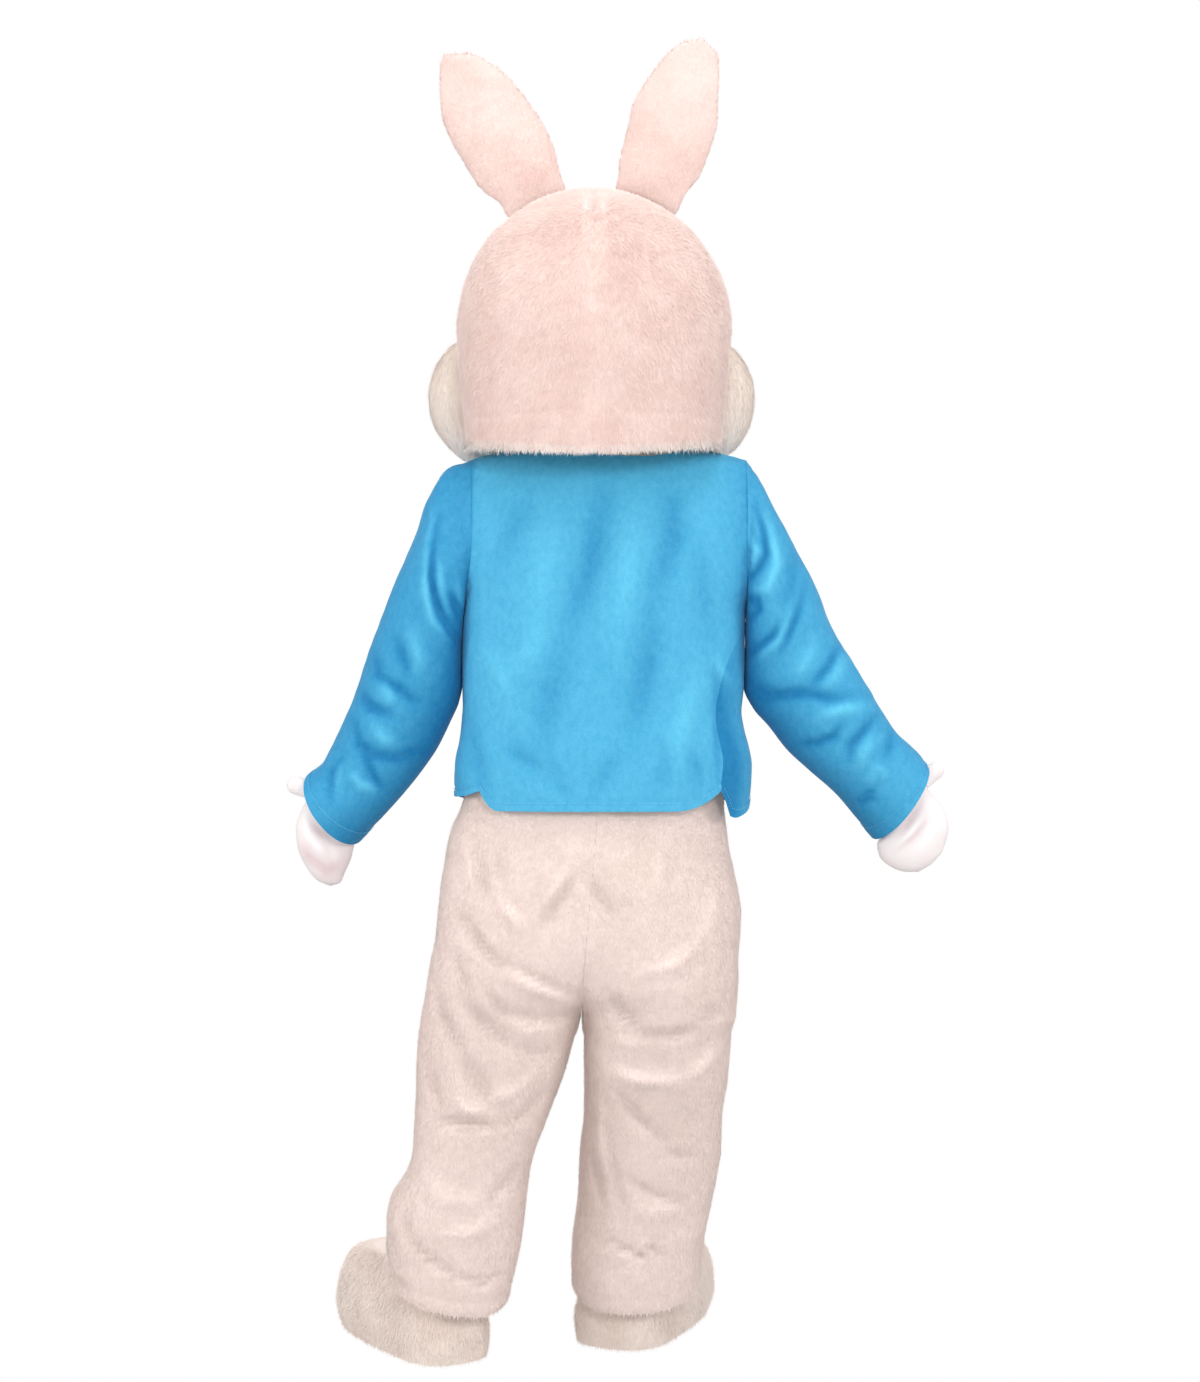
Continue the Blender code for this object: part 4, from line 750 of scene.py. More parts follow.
jacketFolds = {     # 1 is the back and -1 the front
    1: readFolds(1.05, (
        # long trough left of the middle
        (-11, 1378, 13, 1248, 49, 1132, 20, -6), (49, 1132, 75, 1041, 88, 950, 22, -3.8),
        # long trough right of the middle
        (-107, 1371, -113, 1287, -81, 1184, 20, -5.5), (-81, 1184, -71, 1080, -48, 976, 22, -5),
        (-55, 1339, -42, 1229, -22, 1106, 22, 3.5), (107, 1352, 133, 1300, 159, 1229, 18, -3.2),
        (70, 1330, 86, 1230, 110, 1120, 24, 3), (146, 1067, 107, 1106, 81, 1158, 16, 3),
        (185, 1120, 160, 1090, 130, 1020, 15, 2.8), (146, 970, 120, 950, 81, 924, 14, -4),
        (195, 1010, 186, 940, 170, 885, 13, -4), (-152, 1080, -126, 1002, -107, 924, 18, 4),
        # pleat at the right side
        (-171, 1119, -184, 1080, -207, 1054, 9, 5), (-176, 1130, -181, 1002, -180, 900, 8, -6),
        (-150, 1280, -158, 1200, -166, 1110, 14, -3),
        # small puckers above the hem
        (16, 885, -9, 924, -29, 963, 12, -3.2), (-87, 892, -100, 931, -100, 970, 12, -3.2),
        (-152, 892, -146, 931, -136, 963, 11, -3.6), (50, 885, 60, 915, 75, 940, 11, -2.6),
    )),
    -1: readFolds(1.3, (
        (150, 1330, 130, 1180, 140, 1030, 22, -5), (90, 1300, 80, 1120, 95, 920, 22, 4),
        (110, 1080, 118, 990, 112, 890, 14, -3.5), (195, 1080, 185, 980, 180, 880, 16, -4),
        (205, 1150, 170, 1120, 130, 1110, 12, -3.5), (-140, 1320, -125, 1160, -110, 960, 22, -5),
        (-185, 1120, -180, 1000, -170, 880, 16, 4), (-85, 1250, -75, 1100, -80, 950, 18, 3.5),
        (-205, 1160, -165, 1130, -130, 1125, 12, -3.5), (-150, 980, -140, 930, -135, 885, 11, -3),
    )),
}


def shoulderDrop(row, x, reach):
    return row.slope * (abs(x) / reach) ** 1.5


def jacketPoint(angle, rise, lift=0.0):
    row, power = jacketTable.at(rise), 2.0 / jacket["power"]
    x, y = powered(math.cos(angle), power), powered(math.sin(angle), power)
    x *= row.left if x > 0 else row.right
    y *= row.back if y > 0 else row.front
    height = row.height - shoulderDrop(row, x, jacket["reach"][1 if x > 0 else -1]) + lift
    fade = 1 - eased((rise - jacket["foldTop"]) / jacket["foldFade"])
    fade *= min(1.0, abs(math.sin(angle)) * 2.2)
    if fade > 0:
        facing = 1 if y > 0 else -1
        y += facing * foldRise(jacketFolds[facing], x, height) * fade
    return Vector((x, y, height))


def jacketRise(t, drop, across):
    underarm = jacket["underarmShare"]
    if t < underarm:
        return mixed(jacket["hem"], jacket["underarm"], t / underarm)
    share = (t - underarm) / (1 - underarm)
    dip = drop * dome(across / jacket["neckShare"]) * share * share
    return mixed(jacket["underarm"], jacket["top"], share) - dip


def hemFade(rise):
    return 1 - eased((rise - jacket["hem"]) / jacket["hemFade"])


def jacketBack(s, t):
    u = 1 - 2 * s
    rise = jacketRise(t, jacket["backDrop"], u)
    row = jacketTable.at(rise)
    angle = mixed(math.radians(row.sideLeft), math.pi - math.radians(row.sideRight), s)
    start, power = jacket["corner"][1 if u > 0 else -1]
    lift = jacket["ventRise"] * max(0.0, (abs(u) - start) / (1 - start)) ** power
    return jacketPoint(angle, rise, lift * hemFade(rise))


def sideAngle(side, kind, rise):
    return math.radians(getattr(jacketTable.at(rise), kind + side.title()))


def mirrored(side, angle):
    return math.pi - angle if side == "right" else angle


def jacketFront(side, s, t):
    rise = jacketRise(t, jacket["frontDrop"], 1 - s)
    edge = math.radians(getattr(frontEdgeTable.at(rise), side))
    angle = mirrored(side, mixed(sideAngle(side, "fore", rise), edge, s))
    return jacketPoint(angle, rise, getattr(frontHemTable.at(s), side) * hemFade(rise))


def armholePoint(side, share):
    rise = mixed(jacket["top"], jacket["underarm"], 1 - abs(1 - 2 * share))
    return jacketPoint(mirrored(side, sideAngle(side, "side" if share < 0.5 else "fore", rise)), rise)


def hemDistance(t):
    return t / jacket["underarmShare"] * (jacket["underarm"] - jacket["hem"])


def turnedEdge(distance, turnUp=jacket["turnUp"], width=0.0026, proud=0.0007, rim=0.0016):
    # a turned-up edge: its row of stitches pulls in, and the fold below it stands a little proud
    stitched = -0.0016 * bump(distance - turnUp, width)
    return stitched + proud * eased((turnUp - distance) / 0.004) - 0.0010 * bump(distance, rim)


def jacketPaintedShade(point):
    # painted shade in the troughs and where the cloth turns away from the lamps at the sides, painted highlight on
    # the ridges, and a little painted light over all
    fold = foldRise(jacketFolds[1 if point.y > 0 else -1], point.x, point.z) / jacket["shadedFoldDepth"]
    return fold + 0.10 - 0.45 * eased((abs(point.x) - 0.15) / 0.09) ** 2


def backPaintedShade(s, t, point):
    # painted shade: a dark strip along the back's side seams near the top, where the sleeves meet it
    return jacketPaintedShade(point) - 0.8 * bump(t - 0.82, 0.13) * bump(min(s, 1 - s), 0.010)


def frontPaintedShade(side, s, t, point):
    # the right front swings back behind its pleat and lies in the shade
    shade = 1.3 * (1 - eased(s / 0.22)) * (1 - eased((t - 0.1) / 0.4)) if side == "right" else 0.0
    return jacketPaintedShade(point) - shade


def backDip(s, t, point):
    side = seamDistance(s, jacket["backWidth"])
    groove = 0.0
    if t > jacket["underarmShare"]:
        pucker = 0.5 + 0.5 * math.sin(point.z * 420) * math.sin(point.z * 137 + 1.0)
        groove = -0.0022 * bump(side - 0.012, 0.009) * pucker
    puckers = 0.0008 * bump(hemDistance(t) - 0.018, 0.012) * ripple(point, 0.010, 4.0)
    return groove + uneven("jacketBack", point) * eased(side / 0.012) + puckers + turnedEdge(hemDistance(t))


def frontDip(s, t, point):
    edges = turnedEdge(hemDistance(t)), turnedEdge((1 - s) * jacket["frontWidth"])
    return uneven("jacketFront", point) * eased(s / 0.04) + edges[0] + edges[1]


sleeve = {
    "blend": 0.24, "turnUp": 0.009, "length": 0.52, "shade": {"left": 0.36, "right": 0.14},
    "shadedFoldDepth": 0.0062, "frontShrink": 0.985, "frontIn": 0.010, "frontUp": 0.018,
}
sleeveColumns = "share* outerX outerH innerX innerH middle depth lead"      # lead: a ring's back runs ahead
sleeveTables = {
    "left": readTable(sleeveColumns, (
        (0, 210, 1412, 217, 1160, 0, 74, 0), (0.07, 244, 1400, 216.3, 1140, 0, 76, 0),
        (0.16, 270, 1354, 215.8, 1122, 0, 77, 0), (0.25, 287, 1300, 215.7, 1104, -1, 77, 0),
        (0.35, 313, 1239, 215.7, 1086, -3, 76, 0), (0.46, 338, 1177, 215.7, 1062, -6, 75, 0),
        (0.57, 362, 1114, 221, 1034, -10, 74, 0), (0.67, 382, 1052, 236, 1000, -15, 73, 2),
        (0.78, 410, 989, 256, 960, -21, 70, 8), (0.86, 428, 953, 281, 924, -25, 68, 15),
        (0.93, 441, 934, 311, 887, -28, 66, 21), (1, 458, 920.5, 380, 811, -30, 63, 27.5),
    )),
    "right": readTable(sleeveColumns, (
        (0, 238, 1412, 229, 1165, 0, 74, 0), (0.07, 254, 1388, 228.1, 1145, 0, 76, 0),
        (0.16, 275, 1335, 227.3, 1125, 0, 77, 0), (0.25, 307, 1271, 226.6, 1104, -1, 77, 0),
        (0.35, 340, 1208, 226, 1080, -3, 76, 0), (0.46, 365, 1146, 225.6, 1055, -6, 75, 0),
        (0.57, 400, 1090, 241, 1022, -10, 74, 0), (0.67, 437, 1028, 265, 995, -15, 73, 1),
        (0.78, 466, 985, 294, 958, -21, 70, 4), (0.86, 491, 962, 331, 924, -25, 68, 9),
        (0.93, 504, 950, 370, 890, -28, 66, 12.5), (1, 515, 934.5, 430, 817.5, -30, 63, 16.5),
    )),
}
sleeveFolds = {
    "left": readFolds(1.5, (
        (256.5, 1330, 266, 1262, 269, 1202, 256.5, 1156, 232.3, 1129, 7.5, 3.6),
        (249, 1320, 258.5, 1270, 260, 1226, 250.5, 1180, 232.3, 1141, 208.5, 1119, 7, -4.4),
        (247, 1250, 244.5, 1215, 228, 1168, 6.5, 2.8), (235.5, 1205, 223.5, 1180, 208.5, 1156, 6.5, -4),
        (222, 1225, 215, 1195, 207, 1175, 6, 2.2), (293, 1150, 281, 1104, 278, 1074, 13, 2.6),
        (317, 1138, 302, 1104, 293, 1068, 10, -2.4), (339, 1074, 327, 1043, 317, 1025, 12, 3),
        (348, 1107, 342, 1074, 305, 1049, 278, 1028, 8.8, -3.6), (372, 1049, 354, 1025, 317, 1013, 8.8, -3.6),
        (354, 1001, 333, 976, 317, 967, 10, 3.2), (384.5, 1007, 372, 970, 354, 952, 317, 946, 281, 961, 8.5, -3.8),
        (370, 963, 351, 919, 336, 894, 6.8, -3.6), (390, 926, 370, 904, 341, 894, 8, 3.2),
        (397, 953, 416.6, 921, 419, 878, 7, -2.6), (405, 945, 408, 915, 405, 885, 8, 2),
    )),
    "right": readFolds(1.5, (
        (240, 1341, 252, 1298, 256.7, 1260, 240, 1232, 223.5, 1220, 6.5, -4),
        (228, 1289, 240, 1265, 230.6, 1237, 6, 2.6),
        (256, 1330, 264, 1293, 273, 1246, 256.7, 1208, 226, 1203, 8, 3.4),
        (219, 1194, 240, 1191, 244, 1175, 230, 1156, 7, -3.8), (300, 1270, 296, 1220, 280, 1175, 11, -1.8),
        (318, 1213, 304, 1170, 285, 1127, 275.5, 1104, 7, -3.6), (280, 1156, 264, 1132, 228, 1104, 7, -3.6),
        (296, 1175, 276, 1130, 240, 1095, 8, 2.8), (372.7, 1123, 351, 1085, 325, 1056, 7.5, -3.6),
        (385, 1110, 368, 1080, 348, 1056, 10, 2.4), (335, 1130, 318, 1095, 300, 1070, 11, 2.2),
        (225, 1068, 261, 1042, 313, 1047, 365, 1037, 403, 1042, 11, -3.6),
        (337, 1009, 375, 1023, 413, 1028, 10, 3.4), (313, 969, 337, 971, 361, 980, 375, 1002, 7, -3.8),
        (432, 1014, 413, 995, 389, 966, 384.5, 938, 7.5, -3.6), (425, 980, 408, 956, 400, 930, 9, 2.6),
        (400, 880, 417.5, 885, 425, 900, 7.5, -3.4), (445, 915, 430, 930, 415, 905, 8, 1.8),
        (456, 990, 450, 965, 440, 940, 8, -2.4),
    )),
}


def ringMiddle(row):
    # the middle of a sleeve's or mitten's ring, and the way from there to its outer end
    outer, inner = Vector((row.outerX, 0, row.outerH)), Vector((row.innerX, 0, row.innerH))
    return (outer + inner) / 2, (outer - inner) / 2


def sleeveRing(side, angle, share):
    row = sleeveTables[side].at(share)
    middle, half = ringMiddle(row)
    ahead = Vector((half.z, 0, -half.x)).normalized() * row.lead
    depth = Vector((0, row.depth, 0))
    return middle + Vector((0, row.middle, 0)) + half * math.cos(angle) + (depth + ahead) * math.sin(angle)


def sleeveFold(side, angle, x, height):
    # the front's folds are like the back's, a little up and in
    if math.sin(angle) < 0:
        x, height = x * sleeve["frontShrink"] + sleeve["frontIn"], height + sleeve["frontUp"]
    return foldRise(sleeveFolds[side], x, height)


def sleevePoint(side, s, t):
    angle, share = circle * s, 1 - t
    point = sleeveRing(side, angle, share)
    if share < sleeve["blend"]:
        hole = armholePoint(side, s % 1.0)
        hole.x = abs(hole.x)
        point += (hole - sleeveRing(side, angle, 0.0)) * (1 - eased(share / sleeve["blend"]))
    out = sleeveFold(side, angle, point.x, point.z) * abs(math.sin(angle)) ** 0.8 * eased(share / 0.1)
    return Vector((point.x * sides[side], point.y + (-out if math.sin(angle) < 0 else out), point.z))


def sleevePaintedShade(side, s, t, point):
    # painted shade: the sleeve darker all over, the left one more, darker still towards its inner side and a little
    # towards its outer side, darker in the fold troughs, with painted highlight on the ridges
    angle = circle * s
    shaded = 0.80 * max(0.0, -math.cos(angle)) ** 1.6 + 0.30 * max(0.0, math.cos(angle)) ** 3
    fold = sleeveFold(side, angle, abs(point.x), point.z) / sleeve["shadedFoldDepth"]
    return fold - sleeve["shade"][side] - shaded


def sleeveDip(s, t, point):
    pucker = 0.5 + 0.5 * math.sin(point.z * 380 + point.y * 90)
    gather = -0.0022 * bump(1 - t - 0.030, 0.022) * pucker
    pressed = 1 - eased((-math.cos(circle * s) - 0.6) / 0.3)    # flat where it lies on the body
    cuff = turnedEdge(t * sleeve["length"], sleeve["turnUp"], 0.0028, 0.0008, 0.0018)
    return (uneven("sleeve", point) * pressed + gather) * eased((1 - t) / 0.03) + cuff


stitch = {"pitch": 0.0048, "length": 0.0034, "thick": 0.0007, "sink": 0.0006}


def sewLine(name, surface, places, turn):
    # a row of stitches along a line drawn on a surface, each a small tapered bar lying in the cloth
    spots = []
    for s, t in places:
        across = surface(s + stepSize, t) - surface(s - stepSize, t)
        along = surface(s, t + stepSize) - surface(s, t - stepSize)
        spots.append((surface(s, t), across.cross(along).normalized()))
    mesh = bmesh.new()
    travelled = 0.0
    for (here, normal), (there, _) in zip(spots, spots[1:]):
        run = there - here
        if run.length < 1e-6:
            continue
        heading = run.normalized()
        outwards = normal * turn
        sideways = heading.cross(outwards).normalized()
        while travelled < run.length:
            middle = here + heading * travelled + outwards * -stitch["sink"]
            rings = []
            for share, size in ((-0.5, 0.35), (-0.25, 1.0), (0.25, 1.0), (0.5, 0.35)):
                centre = middle + heading * (share * stitch["length"]) - outwards * (0.0004 * (1 - size))
                arms = [sideways * math.cos(a) + outwards * math.sin(a) * 0.7 for a in (0.0, 2.1, 4.2)]
                rings.append([mesh.verts.new(centre + arm * stitch["thick"] * size) for arm in arms])
            for first, second in zip(rings, rings[1:]):
                for place, after in ((0, 1), (1, 2), (2, 0)):
                    mesh.faces.new((first[place], first[after], second[after], second[place]))
            mesh.faces.new(rings[0][::-1])
            mesh.faces.new(rings[-1])
            travelled += stitch["pitch"]
        travelled -= run.length
    bmesh.ops.recalc_face_normals(mesh, faces=mesh.faces[:])
    row = placeMesh(name, mesh)
    row.data.materials.append(finishes["thread"])
    dress(row, "blue_cloth")
    return row


def evenly(count, start=0.0, end=1.0):
    return [mixed(start, end, place / count) for place in range(count + 1)]


def sewPanel(name, surface, grid, cut, outward, dip, paintedShading, line, turn):
    panel = growPanel(name, surface, *grid, cut, outward, dip, None, paintedShading)
    makeUp(panel, name, "blue_cloth", "velour", wall=jacket["wall"])
    return panel, sewLine("stitches_" + name, surface, line, turn)


def makeJacket():
    hem = jacket["turnUp"] / (jacket["underarm"] - jacket["hem"]) * jacket["underarmShare"]
    backLine = [(s, hem) for s in evenly(90, 0.01, 0.99)]
    panel, stitches = sewPanel("jacket_back", jacketBack, (96, 102), (0.46, 0.60),
                               Vector((0, 1, 0)), backDip, backPaintedShade, backLine, -1)
    edge = 1 - jacket["frontTurn"]
    frontLine = [(s, hem) for s in evenly(50, 0.02, edge)] + [(edge, t) for t in evenly(90, hem, 0.97)]
    cuffLine = [(s, sleeve["turnUp"] / sleeve["length"]) for s in evenly(90)]
    for side, turn in sides.items():
        panel, stitches = sewPanel("jacket_front_" + side, partial(jacketFront, side), (52, 102),
                                   (0.27, 0.60), Vector((0, -1, 0)), frontDip, partial(frontPaintedShade, side),
                                   frontLine, turn)
        panel, stitches = sewPanel("sleeve_" + side, partial(sleevePoint, side), (104, 94), (0.46, 0.52),
                                   None, sleeveDip, partial(sleevePaintedShade, side), cuffLine, -turn)


makeJacket()
print("jacket made")


# suit: two halves, each a back and a front panel that run from the leg's hem to the shoulder
suit = {
    "top": 1.490, "waist": 0.870, "waistShare": 24 / 32, "hem": 0.122, "crotch": 0.545, "power": 2.3,
    "left": {"shift": 0.0, "rise": 0.056, "drop": 0.038, "turn": math.radians(36)},
    "right": {"shift": -0.015, "rise": 0.071, "drop": 0.039, "turn": math.radians(12)},
    "hemFade": 0.20, "neckShare": 0.50, "neckDrop": {1: 0.085, -1: 0.125}, "wall": 0.005, "inset": 0.0028,
    "furTop": 0.905, "gap": 0.00016, "width": 0.34, "stitching": 0.022, "shadedFoldDepth": 0.009,
}
bodyTable = readTable("rise height centre left right share* front back slope arm*", (
    (545, 545, 29, 252, 245, 0, 118, 112, 0, 0), (600, 600, 26, 245, 244, 0.22, 126, 128, 0, 0),
    (676, 676, 20, 238, 242, 0.58, 132, 135, 0, 0), (738, 738, 14, 238, 232, 0.85, 135, 134, 0, 0),
    (801, 801, 8, 236, 213, 1, 136, 126, 0, 0), (835, 835, 6, 229, 206, 1, 135, 118, 0, 0),
    (870, 870, 4, 215, 200, 1, 133, 111, 0, 0), (930, 930, 0, 206, 198, 1, 131, 109, 0, 0),
    (1050, 1050, 0, 197, 200, 1, 124, 106, 0, 0), (1120, 1120, 0, 196, 203, 1, 119, 105, 0, 6),
    (1170, 1170, 0, 198, 208, 1, 114, 103, 2, 26), (1250, 1250, 0, 206, 218, 1, 106, 99, 8, 36),
    (1310, 1308, 0, 212, 224, 1, 95, 89, 18, 38), (1370, 1362, 0, 214, 228, 1, 74, 70, 30, 38),
    (1420, 1404, 0, 214, 228, 1, 48, 46, 40, 38), (1460, 1430, 0, 214, 228, 1, 22, 22, 45, 38),
    (1490, 1438, 0, 214, 228, 1, 0, 0, 46, 38),
))
legRows = {     # rise, centre, outer, inner, middle, front, back
    "left": (
        (122, 29, 305, 112, -26, 102, 101), (150, 29, 309, 105, -24, 102, 101), (206, 29, 309, 91, -20, 103, 101),
        (237, 29, 304, 87, -18, 103, 100), (269, 29, 291, 83, -16, 102, 99), (300, 29, 276, 78, -13, 101, 98),
        (331, 29, 267, 70, -10, 100, 98), (394, 29, 263, 46, -6, 102, 99), (457, 29, 261, 23, -3, 107, 103),
        (519, 29, 256, 6, -1, 114, 109),
    ),
    "right": (
        (122, 29, 196, -19, -112, 96, 100), (150, 29, 197, -20, -107, 98, 101), (184, 29, 200, -18, -102, 100, 101),
        (250, 29, 212, -9, -88, 100, 100), (317, 29, 223, -6, -70, 100, 99), (384, 29, 225, 1, -50, 103, 100),
        (450, 29, 233, 1.5, -28, 108, 104), (519, 29, 238, 1.5, -8, 115, 109),
    ),
}
suitFolds = {
    1: readFolds(1.4, (
        # hip, left
        (190, 798, 182, 765, 176, 732, 11, -7), (149, 816, 153, 780, 146, 747, 13, -4.5),
        (210, 850, 212, 810, 202, 760, 11, 4), (158, 729, 135, 711, 113, 685, 11, 6.5),
        # sweeps to the crotch, left
        (224, 718, 183, 663, 139, 627, 12, -7.5), (139, 638, 85, 609, 28, 578, 11, -6),
        (143, 623, 88, 598, 29, 571, 11, 6), (228, 652, 217, 623, 201, 587, 12, -6),
        (221, 598, 179, 544, 135, 507, 13, -7), (135, 504, 96, 496, 67, 500, 13, -4.5),
        (175, 598, 146, 562, 96, 545, 12, -6), (96, 545, 67, 545, 45, 551, 11, -5),
        (146, 562, 110, 533, 48, 540, 13, 6), (253, 591, 237, 540, 212, 496, 12, -7.5),
        (212, 496, 190, 467, 168, 435, 13, -5.5),
        # thigh, right
        (-64, 620, -119, 638, -155, 671, 14, 6), (-155, 671, -169, 700, -177, 740, 13, 4.5),
        (-17, 591, -39, 554, -68, 527, 12, -7.5), (-68, 527, -111, 525, -151, 538, 13, -6.2),
        (-151, 538, -173, 554, -191, 569, 13, -5), (-10, 518, -39, 511, -68, 507, 14, 5),
        (-17, 467, -61, 453, -126, 455, 14, 5.5), (-126, 455, -155, 471, -188, 504, 13, 4.2),
        # seat
        (34, 776, 63, 732, 90, 685, 14, -6.5), (17, 769, -2, 732, -30, 700, 14, -6),
        (45, 783, 67, 747, 96, 711, 12, 4.2), (-91, 798, -90, 769, -89, 740, 13, 3.5),
        # knee and shin, left
        (226, 427, 204, 411, 172, 404, 11, 6.8), (251, 393, 204, 385, 159, 383, 11, -7.2),
        (159, 383, 118, 398, 82, 438, 12, -5.5), (217, 479, 190, 443, 168, 420, 12, -5),
        (177, 420, 136, 434, 87, 470, 12, 5), (267, 479, 258, 438, 249, 411, 13, -5.2),
        (276, 312, 240, 272, 177, 263, 16, 4.5), (177, 263, 141, 294, 114, 335, 13, -4.8),
        (249, 218, 204, 218, 150, 240, 13, 5),
        # hem, left
        (309, 218, 262, 175, 217, 153, 8, -4.5), (217, 153, 177, 139, 141, 150, 8, -4.5),
        (323, 146, 311, 132, 298, 123, 9, -6), (305, 254, 300, 231, 294, 209, 11, -6),
        # long folds down the right leg
        (8, 425, -6, 344, -28, 263, 12, 6), (-3, 389, -17, 317, -37, 227, 11, -7.5),
        (21, 344, 12, 303, -6, 236, 11, -5.5), (-21, 443, -57, 389, -105, 348, 11, -5.8),
        (-35, 294, -80, 265, -134, 247, 11, -5), (-48, 236, -89, 236, -125, 240, 12, 4.2),
        (-12, 465, -66, 449, -134, 445, 14, 5), (-134, 445, -161, 470, -188, 497, 12, 4.2),
        (-98, 335, -125, 326, -156, 326, 11, -3.5),
        # two lobes of cloth over the right heel
        (-15, 186, -39, 177, -64, 164, 7, -5.5), (-64, 164, -80, 174, -98, 168, 7, -5.2),
        (-57, 167, -64, 164, -69, 157, 6, -4.5),
    ), 0.88),
    -1: readFolds(1.3, (
        (10, 700, 60, 610, 140, 570, 16, -7.5), (10, 700, -45, 620, -120, 580, 16, -7.5),
        (20, 640, 80, 575, 170, 540, 13, 6), (-5, 630, -70, 570, -150, 545, 13, 6),
        (80, 540, 160, 500, 240, 520, 16, 6), (-10, 540, -100, 500, -180, 520, 16, 6),
        (60, 490, 130, 450, 230, 460, 12, -5.5), (-15, 480, -80, 450, -170, 470, 12, -5.5),
        (90, 400, 160, 415, 240, 395, 13, 6), (10, 410, -70, 420, -160, 400, 13, 5.5),
        (120, 370, 190, 340, 270, 370, 14, -6.5), (20, 360, -80, 330, -170, 360, 14, -6.5),
        (250, 300, 200, 270, 140, 290, 12, -5.5), (-140, 290, -90, 265, -30, 280, 12, -5),
        (140, 240, 220, 215, 300, 240, 14, 6.5), (20, 240, -70, 220, -150, 240, 14, 6.5),
        (80, 860, 90, 780, 120, 720, 18, -5.5), (-75, 850, -80, 780, -110, 710, 18, -5.5),
        (180, 830, 175, 760, 190, 690, 14, -5), (-170, 820, -160, 750, -170, 690, 14, -5),
    )),
}
suitFur = {
    "density": 215000, "length": 0.0068, "width": 0.0016, "lift": 0.28, "tangle": 0.22, "locks": 0.35,
    "calm": 3.0, "combFrom": (0.0, 0.0, 2.6), "seed": 71,
}


def suitHalf(side):
    # a leg below the crotch and half the body above it
    rows = []
    for leg in legRows[side]:
        rise, *others = [round(value / 1000, 6) for value in leg]
        rows.append((rise, rise, *others, 0.0, 0.0))
    for values in bodyTable.rows:
        row = bodyTable.at(values[0])
        outer = getattr(row, side)
        rows.append((row.rise, row.height, row.centre, outer, -row.share * outer, 0.0, row.front, row.back,
                     row.slope, row.arm))
    return ShapeTable("rise height centre outer inner middle front back slope arm".split(), rows)


suitTables = {side: suitHalf(side) for side in sides}


def centreAngle(row):
    # where a panel ends: at the middle seam on the body, all the way round on a leg
    reach, middle = (row.outer - row.inner) / 2, (row.outer + row.inner) / 2
    share = min(1.0, max(0.0, middle / reach))
    if row.inner >= 0 or row.rise < suit["crotch"]:
        share = 1.0
    return math.pi - math.acos(share ** (suit["power"] / 2))


def suitRise(facing, s, t):
    if t < suit["waistShare"]:
        return mixed(suit["hem"], suit["waist"], t / suit["waistShare"])
    share = (t - suit["waistShare"]) / (1 - suit["waistShare"])
    drop = suit["neckDrop"][facing] * dome((1 - s) / suit["neckShare"])
    return mixed(suit["waist"], suit["top"], share) - drop * share * share


def suitPoint(side, facing, s, t):
    rise = suitRise(facing, s, t)
    row, power = suitTables[side].at(rise), 2.0 / suit["power"]
    angle = mixed(math.radians(row.arm), centreAngle(row), s)
    local = (row.outer + row.inner) / 2 + (row.outer - row.inner) / 2 * powered(math.cos(angle), power)
    if rise >= suit["crotch"]:
        local = max(0.0, local)
    y = facing * (row.back if facing > 0 else row.front) * powered(math.sin(angle), power)
    x = row.centre * sides[side] + local + suit["gap"]
    height = row.height - shoulderDrop(row, x, jacket["reach"][sides[side]])
    hem, sine = suit[side], abs(math.sin(angle))
    towardsToe = math.cos(angle) * math.sin(hem["turn"]) - facing * sine * math.cos(hem["turn"])
    tilt = hem["shift"] + towardsToe * (hem["rise"] if towardsToe > 0 else hem["drop"])
    height += tilt * (1 - eased((rise - suit["hem"]) / suit["hemFade"]))
    x *= sides[side]
    out = foldRise(suitFolds[facing], x, height) * min(1.0, sine * 1.6)
    return Vector((x, y + facing * out + row.middle, height))


def trouserHem(t):
    return t / suit["waistShare"] * (suit["waist"] - suit["hem"])


def suitDip(s, t, point):
    # seams sink, and the wadded cloth swells between its folds
    side, hem = seamDistance(s, suit["width"]), trouserHem(t)
    dip = -suit["inset"] - (0.0016 if s < 0.5 else 0.0002) * bump(side, 0.006)
    turned = 0.0009 * bump(hem - suit["stitching"], 0.005)
    return dip + uneven("suit", point) * eased(side / 0.02) - turned - 0.0015 * bump(hem, 0.003)


def suitPaintedShade(facing, s, t, point):
    # painted shade in the fold troughs and painted highlight on the ridges
    return foldRise(suitFolds[facing], point.x, point.z) / suit["shadedFoldDepth"]


def suitSlide(s, t, point):
    # the halves stay together at the middle seam
    return eased((1 - s) / 0.08) if point.z > suit["crotch"] - 0.03 else 1.0


def suitPile(facing, s, t, point):
    # short at the seams and the hem's stitching, and none under the jacket
    shown = point.z < suit["furTop"] or (facing < 0 and s > 0.62)
    seam = (0.25 if s < 0.5 else 0.02) * bump(seamDistance(s, suit["width"]), 0.006)
    return (1.0 if shown else 0.0), 1.0 - seam - 0.12 * bump(trouserHem(t) - suit["stitching"], 0.006)


def makeSuit():
    seed = suitFur["seed"]
    for side in sides:
        for part, facing in (("back", 1), ("front", -1)):
            name = "suit_" + part + "_" + side
            panel = growPanel(name, partial(suitPoint, side, facing), 52, 128, (0.34, 1.30),
                              Vector((0, facing, 0)), suitDip, partial(suitPile, facing),
                              partial(suitPaintedShade, facing), suitSlide)
            fur = growFur("fur_" + name, panel, {**suitFur, "seed": seed}, "suitStrand", "white_plush")
            seed += 7
            makeUp(panel, name, "white_plush", "suit", wall=suit["wall"] - suit["inset"])


makeSuit()
print("suit made")


